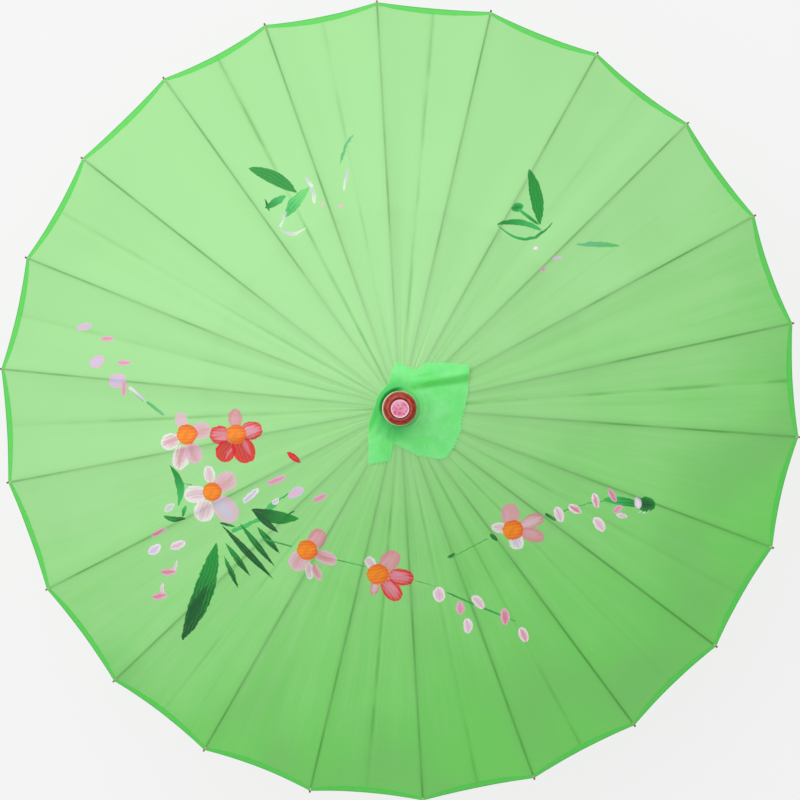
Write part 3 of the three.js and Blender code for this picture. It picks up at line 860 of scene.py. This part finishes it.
def paint_leaves():
    """The long leaves and blades to the lower left, on their light stem."""
    line([(-168, -126), (-138, -112)], 2.6, MINT, MINT)
    line([(-140, -114), (-124, -96)], 3.6, MINT, MINT)
    line([(-124, -96), (-107, -84)], 1.3, MINT, LEAF)
    stroke((-183, -137), (-221, -240), 10.5, 0.85, LEAF, PINE, bend=-4)
    stroke((-192, -180), (-216, -228), 4.6, 0.9, PINE, PINE, bend=2, cover=0.85)
    stroke((-148, -103), (-100, -111), 7.0, 0.75, PINE, LEAF, bend=3)
    stroke((-146, -105), (-120, -126), 3.6, 0.8, PINE, PINE)
    stroke((-116, -110), (-103, -103), 1.3, 0.7, LEAF, PINE)
    for start, end, half, first in [
        ((-181, -116), (-123, -177), 4.0, PINE),
        ((-162, -114), (-123, -163), 3.6, LEAF),
        ((-144, -118), (-118, -149), 3.8, LEAF),
        ((-176, -135), (-148, -173), 3.6, LEAF),
        ((-177, -148), (-161, -186), 3.0, LEAF),
    ]:
        stroke(start, end, half, 1.4, first, PINE)
    stroke((-180, -117), (-164, -121), 1.8, 0.4, PINE, LEAF)
    line([(-136, -132), (-107, -140)], 1.2, MINT, LEAF)
    stroke((-230, -60), (-222, -102), 4.4, 0.8, LEAF, MINT, bend=-6)
    stroke((-214, -100), (-218, -112), 2.4, 0.6, MINT, LEAF)
    stroke((-237, -112), (-215, -113), 3.0, 0.5, LEAF, PINE, bend=2)
    dab(-231, -103, 40, 6.5, 3.6, LILAC, WHITE, cover=0.75)


def paint_stems():
    line([(-272, 18), (-255, 4)], 2.2, WHITE, LILAC, 0.85)
    line([(-270, 15), (-257, 3)], 0.7, TEAL, LEAF, 0.7)
    line([(-253, 3), (-236, -10)], 2.0, MINT, TEAL, 0.85)
    line([(-207, -80), (-216, -78), (-222, -84)], 1.0, LEAF, TEAL, 0.8)
    line([(-79, -149), (-34, -159)], 1.0, LEAF, MINT)
    line([(14, -173), (36, -180)], 0.8, LEAF, TEAL, 0.75)
    line([(47, -186), (82, -202), (116, -217)], 1.3, LEAF, MINT)
    line([(49, -151), (87, -131)], 0.9, MINT, LEAF, 0.85)
    dab(51, -148, 30, 4.5, 1.6, LEAF, PINE)
    dab(93, -130, -45, 5.0, 2.4, LEAF, PINE)
    line([(144, -107), (155, -114)], 2.0, PINE, LEAF)
    line([(158, -106), (187, -98), (207, -95)], 1.0, LEAF, MINT)
    stroke((203, -94), (243, -101), 4.6, 0.5, MINT, LEAF, bend=-1)
    dab(247, -100, -10, 9.5, 8.0, PINE, LEAF)
    for x, y in ((241, -107), (245, -108), (249, -107)):
        dab(x, y, 40, 2.6, 0.8, WHITE, LILAC)


# Each blossom has the middle and half breadth of its eye, then the middle, half length, half breadth and
# two colours of each petal, which points away from the eye.
BLOSSOMS = [
    (-212, -29, 10.5, [
        (-218, -14, 8, 6, BLUSH, BLUSH), (-197, -25, 10, 8, PINK, BLUSH), (-231, -37, 9, 7.5, PINK, WHITE),
        (-219, -54, 12, 8, PINK, WHITE), (-205, -49, 10, 8, PINK, BLUSH),
    ]),
    (-162, -28, 10, [
        (-163, -11, 9, 6.5, PINK, ROSE), (-146, -24, 11, 8.5, PINK, RED), (-180, -29, 9.5, 8.5, ROSE, RED),
        (-174, -47, 10, 9, CRIMSON, RED), (-154, -45, 12.5, 10.5, CRIMSON, RED),
    ]),
    (-187, -86, 9.8, [
        (-190, -67, 8, 5.5, BLUSH, WHITE), (-172, -75, 11, 9, PINK, BLUSH),
        (-206, -89, 10.5, 8, BLUSH, WHITE), (-196, -107, 10.5, 9.5, BLUSH, WHITE),
        (-172, -105, 14, 10.5, LILAC, BLUSH),
    ]),
    (-92, -143, 10.5, [
        (-81, -130, 9.5, 8, PINK, ROSE), (-72, -151, 11, 6.5, ROSE, BLUSH), (-90, -166, 8, 4, BLUSH, WHITE),
        (-82, -167, 8.5, 4, ROSE, BLUSH), (-101, -155, 10.5, 9, PINK, BLUSH),
    ]),
    (-22, -167, 11, [
        (-30, -154, 6, 5, BLUSH, WHITE), (-9, -152, 11, 8.5, PINK, ROSE), (3, -170, 12, 8, ROSE, RED),
        (-7, -185, 12, 8, ROSE, RED), (-25, -180, 9, 4.5, BLUSH, ROSE),
    ]),
    (112, -123, 10.5, [
        (109, -106, 11, 8.5, PINK, PINK), (132, -114, 12, 7, BLUSH, ROSE), (133, -129, 12, 6.5, PINK, ROSE),
        (116, -136, 7, 7, LILAC, WHITE), (97, -120, 7, 5, BLUSH, WHITE),
    ]),
]


def paint_blossoms():
    for x, y, eye, petals in BLOSSOMS:
        for petal_x, petal_y, long, half, middle, edge in petals:
            away = Vector((petal_x - x, petal_y - y))
            angle = math.degrees(math.atan2(away.y, away.x))
            petal_x, petal_y = petal_x - 0.08 * away.x, petal_y - 0.08 * away.y
            cover = 0.96 if edge is RED else 0.84
            dab(petal_x, petal_y, angle, long + 0.6, half * 1.12, middle, edge, 0.75, cover, 0.4)
            beside = away.normalized().orthogonal() * half * 0.4
            beside_x, beside_y = petal_x + beside.x, petal_y + beside.y
            dab(beside_x, beside_y, angle, long * 0.8, half * 0.35, BLUSH, edge, 0.6, 0.35)
        dab(x, y, 10, eye, eye, ORANGE, AMBER, 0.62)
        dab(x - 1, y - 1, 60, eye * 0.6, eye * 0.35, AMBER, ORANGE, cover=0.45)
        dab(x + 3, y + 3, 20, eye * 0.4, 1.2, AMBER, ORANGE, cover=0.4)


# Buds and loose petals: middle, direction, half length, half breadth and two colours.
BUDS = [
    (-319, 78, 12, 8.5, 4.0, BLUSH, LILAC), (-295, 66, 2, 7.5, 3.2, PINK, BLUSH),
    (-305, 43, 25, 8.5, 6.5, LILAC, BLUSH), (-277, 42, 0, 7.5, 3.2, PINK, BLUSH),
    (-284, 24, 20, 9.5, 7.5, LILAC, BLUSH), (-277, 16, 88, 8.5, 3.2, PINK, BLUSH),
    (-242, -128, 28, 9.5, 3.0, ROSE, BLUSH), (-247, -146, 35, 8.0, 5.0, LILAC, WHITE),
    (-223, -141, 25, 8.5, 4.6, BLUSH, WHITE), (-226, -163, 75, 7.0, 2.0, BLUSH, WHITE),
    (-233, -169, 5, 8.0, 4.2, ROSE, BLUSH), (-240, -187, 85, 7.0, 2.2, BLUSH, WHITE),
    (-243, -194, 12, 8.0, 4.4, ROSE, BLUSH), (-122, -73, 22, 11.0, 3.8, PINK, BLUSH),
    (-148, -89, 42, 11.0, 3.6, LILAC, WHITE), (-103, -85, 32, 9.0, 5.2, BLUSH, LILAC),
    (-123, -94, 40, 4.6, 2.6, LILAC, WHITE), (-79, -90, 28, 7.5, 3.8, PINK, BLUSH),
    (39, -188, 100, 8.0, 6.5, BLUSH, WHITE), (60, -202, 95, 7.5, 4.5, PINK, BLUSH),
    (68, -221, 95, 8.0, 5.2, BLUSH, WHITE), (78, -196, 130, 8.5, 5.0, BLUSH, WHITE),
    (105, -212, 95, 9.0, 5.2, ROSE, BLUSH), (124, -231, 110, 8.5, 5.0, PINK, WHITE),
    (158, -108, 110, 8.0, 5.2, BLUSH, WHITE), (174, -103, 150, 7.5, 4.4, ROSE, WHITE),
    (195, -95, 105, 7.8, 4.2, PINK, WHITE), (212, -90, 120, 8.0, 3.6, ROSE, BLUSH),
    (218, -104, 30, 5.5, 4.0, PINK, BLUSH), (222, -111, 165, 6.0, 3.0, BLUSH, WHITE),
    (199, -119, 125, 8.5, 5.4, BLUSH, WHITE), (238, -98, 110, 6.5, 4.2, WHITE, LILAC),
]


def paint_buds():
    for bud in BUDS:
        dab(*bud)
    stroke((-111, -45), (-98, -55), 3.6, 0.6, RED, CRIMSON)


def paint_sprigs():
    """Two small sprigs far from the blossoms."""
    stroke((-152, 237), (-103, 212), 7.0, 0.75, LEAF, LEAF, bend=-3)
    stroke((-134, 196), (-114, 209), 4.4, 0.6, LEAF, MINT)
    stroke((-90, 217), (-114, 187), 6.0, 0.7, rgb(108, 214, 118), MINT, bend=2)
    stroke((-135, 206), (-130, 193), 1.6, 0.5, PINE, LEAF)
    line([(-94, 227), (-87, 217), (-85, 201)], 2.2, LILAC, WHITE, 0.7)
    line([(-113, 193), (-119, 177)], 1.8, LILAC, WHITE, 0.6)
    stroke((-120, 176), (-93, 177), 2.0, 0.4, LILAC, WHITE, bend=6, cover=0.75)
    stroke((-46, 272), (-60, 239), 2.0, 0.7, TEAL, MINT, bend=2, cover=0.8)
    line([(-52, 235), (-56, 214)], 1.6, LILAC, WHITE, 0.75)

    stroke((129, 236), (139, 180), 6.8, 0.75, LEAF, LEAF, bend=-2)
    dab(117, 197, 15, 6.5, 4.6, LEAF, MINT)
    stroke((118, 195), (138, 180), 2.2, 0.3, MINT, LEAF)
    stroke((96, 180), (141, 174), 3.4, 0.4, LEAF, MINT, bend=-5)
    stroke((97, 179), (152, 182), 1.8, 0.2, MINT, LEAF, bend=15)
    stroke((175, 160), (221, 159), 3.0, 0.7, TEAL, MINT, bend=-1, cover=0.8)
    for x, y, long, middle in [
        (-77, 200, 2.6, BLUSH),
        (-59, 198, 3.2, BLUSH),
        (135, 156, 3.0, WHITE),
        (156, 147, 5.0, LILAC),
        (142, 135, 3.4, PINK),
    ]:
        dab(x, y, 15, long, 2.2, middle, BLUSH, cover=0.9)


paint_stems()
paint_leaves()
paint_blossoms()
paint_buds()
paint_sprigs()


def strokes_on(k):
    """The strokes that reach a rib's panel, in the order that they were laid."""
    found = []
    for s in strokes:
        ahead = (s["End"] - s["Start"]).normalized()
        side = Vector((ahead.y, -ahead.x, 0)) * (s["Width"] + abs(s["Bend"]) + 1.5)
        middles = [s["Start"].lerp(s["End"], t) for t in np.linspace(0, 1, 7)]
        places = [middle + side * way for middle in middles for way in (-1, 0, 1)]
        counts = [(FIRST_RIB - math.atan2(p.y, p.x)) / STEP - k for p in places]
        if min(abs((n + RIB_COUNT / 2) % RIB_COUNT - RIB_COUNT / 2) for n in counts) < 0.53:
            found.append(s)
    return found


def lay_strokes(place, colour, chosen):
    """Paints the strokes over a colour."""
    wobble = noise(place, (0.16, 0.16, 0.0), 1.0) - 0.5
    shift = combine(place.tree, wobble * 3.0, wobble * -2.0)
    place = vector_math("ADD", stretched(place, 1, 1, 0), shift)
    grain = noise(place, (0.55, 0.55, 0.0), 3.0, 0.65)
    for s in chosen:
        ahead = s["End"] - s["Start"]
        given = {key: value for key, value in s.items() if key != "End"}
        given.update({"Colour": colour, "Place": place, "Grain": grain})
        given.update({"Ahead": ahead.normalized(), "Length": ahead.length})
        colour = add(place.tree, "ShaderNodeGroup", given, "Colour", node_tree=STROKE_GROUP)
    return colour

# ---------------------------------------------------------------- cloth materials


def streaks(place, fan, along):
    """A place to read noise at that draws it out along the radius, with fan streaks to a radian."""
    facing = stretched(vector_math("NORMALIZE", stretched(place, 1, 1, 0)), fan, fan, fan)
    return vector_math("ADD", facing, combine(place.tree, z=radius_of(place) * along))


def weave(place, pitch):
    """Two sets of crossing threads."""
    x, y, _ = split(place)
    rate = 2 * math.pi / pitch
    return calc("SINE", x * rate) * calc("SINE", y * rate)


CLOTH = rgb(116, 214, 97)
CLOTH_LIGHT = rgb(166, 228, 152)
CLOTH_SHADE_AND_STITCH = rgb(58, 154, 34)
DULL_GREEN_AND_SHADE = rgb(126, 188, 114)
HEM = rgb(98, 230, 94)
HEM_EDGE = rgb(36, 148, 40)
STITCH_PITCH = 3.2


def canopy_shader(tree, chosen):
    place = field(tree, "rest", "Vector")
    lane = calc("ABSOLUTE", field(tree, "lane"))
    from_rim = field(tree, "from_rim")
    _, _, height_mm = split(place)

    # Faint streaks along the radius and random tone; painted sheen and painted light make the cloth paler
    # towards the upper left and towards the hub.
    broad = noise(streaks(place, 30, 1 / 160), 1.0, 3.0, 0.6)
    fine = noise(streaks(place, 210, 1 / 55), 1.0, 3.0, 0.65)
    mottle = noise(place, (0.011, 0.011, 0.0))
    painted_light = vector_math("DOT_PRODUCT", place, (-0.001, 0.89 / 450, 0), "Value")
    painted_light = painted_light + ramp(vector_math("LENGTH", place, output="Value"), 620, 500, 0.0, 0.3)
    tone = painted_light + field(tree, "tone") * 0.1 + mottle * 0.35 + broad * 0.38 + fine * 0.28
    colour = mix(ramp(tone, 0.06, 1.1), CLOTH, CLOTH_LIGHT)
    # A few dull patches near the rim, random in place but stronger away from the painted light, so partly
    # painted shade.
    patch = ramp(noise(place, (0.009, 0.009, 0.0), 1.0), 0.4, 0.7)
    dull_patches_and_shade = patch * ramp(from_rim, 34, 5, 0.1, 0.5) * ramp(painted_light, 0.1, -0.25, 0.15, 0.85)
    colour = mix(dull_patches_and_shade, colour, DULL_GREEN_AND_SHADE)

    # Painted shade: a thin darker line over each rib stands for the rib's shade through the cloth, stronger
    # in some stretches and faint near the hub.
    patchy = noise(streaks(place, 9, 1 / 70))
    rib_shade = ramp(lane, 1.5, 0.4) * ramp(patchy, 0.35, 0.7, 0.15, 0.6)
    colour = mix(rib_shade * ramp(height_mm, 512, 430, 0.2, 1.0), colour, CLOTH_SHADE_AND_STITCH)
    # Painted shade darkens the soft crease midway across some gores.
    crease_shade = field(tree, "crease_shade") * ramp(patchy, 0.4, 0.65, 0.15, 0.6)
    colour = mix(crease_shade, colour, CLOTH_SHADE_AND_STITCH)

    # The hem is two layers of cloth, and a row of stitches holds it.
    hem = ramp(from_rim + broad * 0.4, 1.3, 1.1)
    colour = mix(hem * 0.9, colour, HEM)
    dash = calc("SINE", turn_of(place) * (RIM_RADIUS * 2 * math.pi / STITCH_PITCH))
    seam = calc("ABSOLUTE", from_rim - 0.86)
    row = ramp(seam, 0.06, 0.02) * calc("GREATER_THAN", dash, -0.35)
    colour = mix(row * 0.4, colour, CLOTH_SHADE_AND_STITCH)
    colour = mix(ramp(from_rim, 0.16, 0.02) * 0.55, colour, HEM_EDGE)
    if chosen:
        colour = lay_strokes(place, colour, chosen)

    relief = bump(fine * 0.4 + weave(place, 0.9) * 0.1 + row * 0.5, 0.11)
    face = surface(
        colour,
        ramp(fine, 0.2, 0.8, 0.46, 0.56),
        relief,
        Specular_IOR_Level=0.6,
        Sheen_Weight=0.1,
        Sheen_Roughness=0.5,
    )
    lit = vector_math("MULTIPLY", colour, (1.1, 1.15, 1.1))
    return see_through(face, lit, relief, 0.2)


plain_canopy = material("canopy_cloth", canopy_shader, [])
for k, panel in enumerate(canopy):
    chosen = strokes_on(k)
    look = material(f"canopy_cloth_{label(k)}", canopy_shader, chosen) if chosen else plain_canopy
    panel.data.materials.append(look)


def head_shader(tree):
    place = field(tree, "rest", "Vector")
    broad = noise(place, (0.04, 0.05, 0.0), 3.0, 0.55)
    fine = noise(place, (0.9, 0.12, 0.0), 3.0, 0.6)
    colour = mix(ramp(broad * 0.9 + fine * 0.35, 0.4, 0.95), rgb(112, 240, 122), rgb(144, 250, 158))
    # Deeper green along the left side, where the cloth lies in two layers, and painted shade on the pleat's
    # slope that faces away from the lamp.
    colour = mix(field(tree, "double_and_shade") * 0.75, colour, rgb(82, 222, 84))

    # Deeper green near the washer on its left half.
    radius = radius_of(place)
    east, _, _ = split(place)
    deeper_near_washer = ramp(radius + broad * 8, 42, 24) * ramp(east, 18, -4)
    colour = mix(deeper_near_washer * 0.75, colour, rgb(44, 200, 84))
    # A painted fold shadow: a dark crescent close to the washer at its upper left, given less shine so that
    # it stays dark.
    corner = vector_math("DOT_PRODUCT", place, (-0.8, 0.6, 0), "Value")
    fold_shadow = ramp(radius + fine * 2, 22.5, 19.5) * ramp(corner, 6, 15)
    colour = mix(fold_shadow * 0.9, colour, rgb(0, 116, 38))
    # A painted highlight lightens the cloth within a millimetre of its edge, so that the pinked teeth show.
    colour = mix(ramp(field(tree, "from_edge"), 0.9, 0.0) * 0.45, colour, rgb(190, 248, 190))

    relief = bump(fine * 0.4 + weave(place, 0.8) * 0.2, 0.1)
    shine = ramp(fold_shadow, 0.0, 1.0, 0.5, 0.05)
    face = surface(colour, ramp(fine, 0.2, 0.8, 0.5, 0.6), relief, Specular_IOR_Level=shine)
    return see_through(face, colour, relief, 0.08)


head_look = material("head_cloth", head_shader)
for piece in head_wedges + head_gathers:
    piece.data.materials.append(head_look)

# ---------------------------------------------------------------- wood, metal, thread and lacquer


def spoke_place(slope):
    """Gives a function of a tree: coordinates along, across and through each rib or stretcher."""

    def place_of(tree):
        place = place_mm(tree)
        _, _, height_mm = split(place)
        radius = radius_of(place)
        count = (FIRST_RIB + 2 * math.pi - turn_of(place)) / STEP
        whole = calc("ROUND", count)
        across = (count - whole) * STEP * radius
        through = height_mm + radius * math.tan(slope)
        # Each spoke reads its grain from a place of its own.
        return combine(tree, radius + whole * 37.0, across, through)

    return place_of


def along_axis(axis, fast, slow):
    """Scales that draw a pattern out along an axis: 0 for x, 1 for y, 2 for z."""
    return tuple(slow if i == axis else fast for i in range(3))


def wood_shader(tree, light, dark, place_of, axis, finish_roughness, coat=0.0):
    """Wood with its grain along one axis."""
    place = place_of(tree)
    bands = noise(stretched(place, *along_axis(axis, 1.0, 0.035)), 0.55, 4.0, 0.6, 0.4)
    fibre = noise(place, along_axis(axis, 2.6, 0.06), 3.0, 0.7)
    share = bands * 0.8 + fibre * 0.45
    colour = mix(ramp(share, 0.38, 0.9), dark, light)
    colour = mix(ramp(noise(place, 0.03), 0.35, 0.7, 0.0, 0.35), colour, dark)
    pores = ramp(fibre, 0.42, 0.3)
    colour = mix(pores * 0.5, colour, dark, "MULTIPLY")
    colour = mix(worn(tree, 0.45), colour, rgb(196, 158, 108))
    roughness = ramp(share, 0.3, 0.9, finish_roughness - 0.06, finish_roughness + 0.1)
    relief = bump(fibre * 0.6 - pores * 0.6, 0.09)
    return surface(colour, roughness, relief, Coat_Weight=coat, Coat_Roughness=0.22)


def lacquer_shader(tree):
    """Dark red-brown lacquer, brushed on a turned ring and rubbed at its edges."""
    place = place_mm(tree)
    brushed = noise(place, (0.25, 0.25, 1.6), 3.0, 0.6)
    cloud = noise(place, 0.16)
    colour = mix(ramp(brushed * 0.6 + cloud * 0.6, 0.4, 0.85), rgb(112, 16, 0), rgb(196, 50, 0))
    colour = mix(worn(tree, 0.3), colour, rgb(170, 84, 44))
    speck = noise(place, 1.3)
    return surface(
        colour,
        ramp(speck, 0.3, 0.8, 0.16, 0.3),
        bump(brushed * 0.5 + speck * 0.15, 0.1),
        Specular_IOR_Level=0.35,
        Coat_Weight=0.12,
        Coat_Roughness=0.12,
    )


def peg_shader(tree):
    """Pink and white paint, dabbed on, with a paler rim inside a lacquered edge."""
    place = place_mm(tree)
    radius = radius_of(place)
    x, y, _ = split(place)
    dabs = noise(place, 0.34, 3.0, 0.7, 0.6)
    other = noise(place, (0.5, 0.5, 0.2), 2.0, 0.6, 1.0)
    colour = mix(ramp(dabs, 0.4, 0.62), rgb(214, 66, 104), rgb(222, 152, 186))
    colour = mix(ramp(other, 0.55, 0.72, 0.0, 0.6), colour, rgb(188, 132, 160))
    # A painted highlight makes the disc paler towards its upper left.
    colour = mix(ramp(y * 0.05 + x * -0.02, 0.1, 0.45, 0.0, 0.4), colour, rgb(232, 190, 208))
    colour = mix(ramp(radius + dabs * 1.2, 7.8, 8.5) * 0.8, colour, rgb(246, 206, 222))
    colour = mix(ramp(radius, 8.7, 9.0), colour, rgb(150, 30, 2))
    return surface(colour, ramp(dabs, 0.3, 0.7, 0.32, 0.5), bump(dabs * 0.8 + other * 0.4, 0.2))


def metal_shader(tree, bright, dull, roughness, brush_scales):
    """Brushed metal with duller, stained patches."""
    place = place_mm(tree)
    brushed = noise(place, brush_scales, 3.0, 0.7)
    stain = noise(place, 0.35, 3.0, 0.6)
    colour = mix(ramp(stain, 0.42, 0.7, 0.0, 0.75), bright, dull)
    colour = mix(brushed * 0.25, colour, dull)
    rough = ramp(stain + brushed * 0.5, 0.4, 1.1, roughness, roughness + 0.25)
    return surface(colour, rough, bump(brushed, 0.03), Metallic=1.0)


def thread_shader(tree):
    """Two-ply cotton: light twisted strands, with painted shade in the gaps between them."""
    place = place_mm(tree)
    _, _, height_mm = split(place)
    twist = turn_of(place) * (PIVOT_RADIUS * 2 * math.pi / 1.6) + height_mm * 4.0
    ply = ramp(calc("SINE", twist), -0.6, 0.6)
    fuzz = noise(place, 3.0, 3.0, 0.7)
    colour = mix(ply, rgb(168, 158, 132), rgb(232, 224, 204))
    colour = mix(fuzz * 0.3, colour, rgb(196, 188, 164))
    relief = bump(ply + fuzz * 0.5, 0.12)
    return surface(colour, ramp(fuzz, 0.2, 0.8, 0.7, 0.9), relief, Sheen_Weight=0.2)


def washer_shader(tree):
    """Cream card with fibres and a slightly soiled edge."""
    place = place_mm(tree)
    fibre = noise(place, (0.9, 2.4, 1.0), 4.0, 0.7)
    soil = noise(place, 0.22, 3.0)
    colour = mix(ramp(soil, 0.4, 0.75, 0.1, 0.7), rgb(242, 234, 208), rgb(206, 186, 140))
    colour = mix(fibre * 0.25, colour, rgb(190, 170, 128))
    return surface(colour, ramp(fibre, 0.2, 0.8, 0.6, 0.82), bump(fibre, 0.12))


def floor_shader(tree):
    """Plain pale floor with a faint unevenness. It glows a little, as a lit studio sweep does."""
    cloud = noise(add(tree, "ShaderNodeTexCoord", output="Object"), 1.2, 3.0)
    values = {
        "Base Color": mix(cloud, (0.11, 0.11, 0.11, 1), (0.14, 0.14, 0.14, 1)),
        "Roughness": ramp(cloud, 0.2, 0.8, 0.8, 0.9),
        "Emission Color": (1, 1, 1, 1),
        "Emission Strength": 0.79,
    }
    return add(tree, "ShaderNodeBsdfPrincipled", values)


def wood(name, light, dark, *given):
    return material(name, wood_shader, rgb(*light), rgb(*dark), *given)


rib_wood = wood("rib_wood", (150, 106, 62), (92, 60, 32), spoke_place(SLOPE), 0, 0.5)
stretcher_wood = wood("stretcher_wood", (206, 164, 104), (158, 112, 62), spoke_place(-SLOPE), 0, 0.52)
turned_wood = wood("turned_wood", (178, 128, 74), (116, 74, 38), place_mm, 2, 0.42, 0.25)
pole_wood = wood("pole_wood", (196, 152, 94), (142, 98, 52), place_mm, 2, 0.36, 0.4)
handle_wood = wood("handle_wood", (150, 92, 46), (84, 44, 20), place_mm, 2, 0.3, 0.6)
ROUND_THE_POLE, ALONG_THE_POLE = (0.5, 0.5, 5.0), (4.0, 4.0, 0.25)
brass = material("brass", metal_shader, rgb(214, 172, 92), rgb(142, 104, 50), 0.22, ROUND_THE_POLE)
steel = material("steel_wire", metal_shader, rgb(190, 192, 194), rgb(112, 108, 102), 0.26, ALONG_THE_POLE)
thread_look = material("thread", thread_shader)

floor.data.materials.append(material("studio_floor", floor_shader))
for piece, look in [
    (washer, material("washer", washer_shader)),
    (finial, material("lacquer", lacquer_shader)),
    (peg, material("peg", peg_shader)),
    (handle, handle_wood),
    (collar, brass),
    (pole, pole_wood),
    *((thread, thread_look) for thread in threads + tip_threads),
]:
    piece.data.materials.clear()
    piece.data.materials.append(look)

CAD_LOOKS = {
    "rib_": rib_wood,
    "stretcher_": stretcher_wood,
    "top_hub": turned_wood,
    "runner": turned_wood,
    "hub_pin": brass,
    "catch_spring": steel,
    "top_ring_wire": steel,
    "runner_ring_wire": steel,
}
for name, node in cad.items():
    for start, look in CAD_LOOKS.items():
        if name.startswith(start):
            # The material goes on the object, so that its mesh stays as it was packed.
            for place in node.material_slots:
                place.link = "OBJECT"
                place.material = look
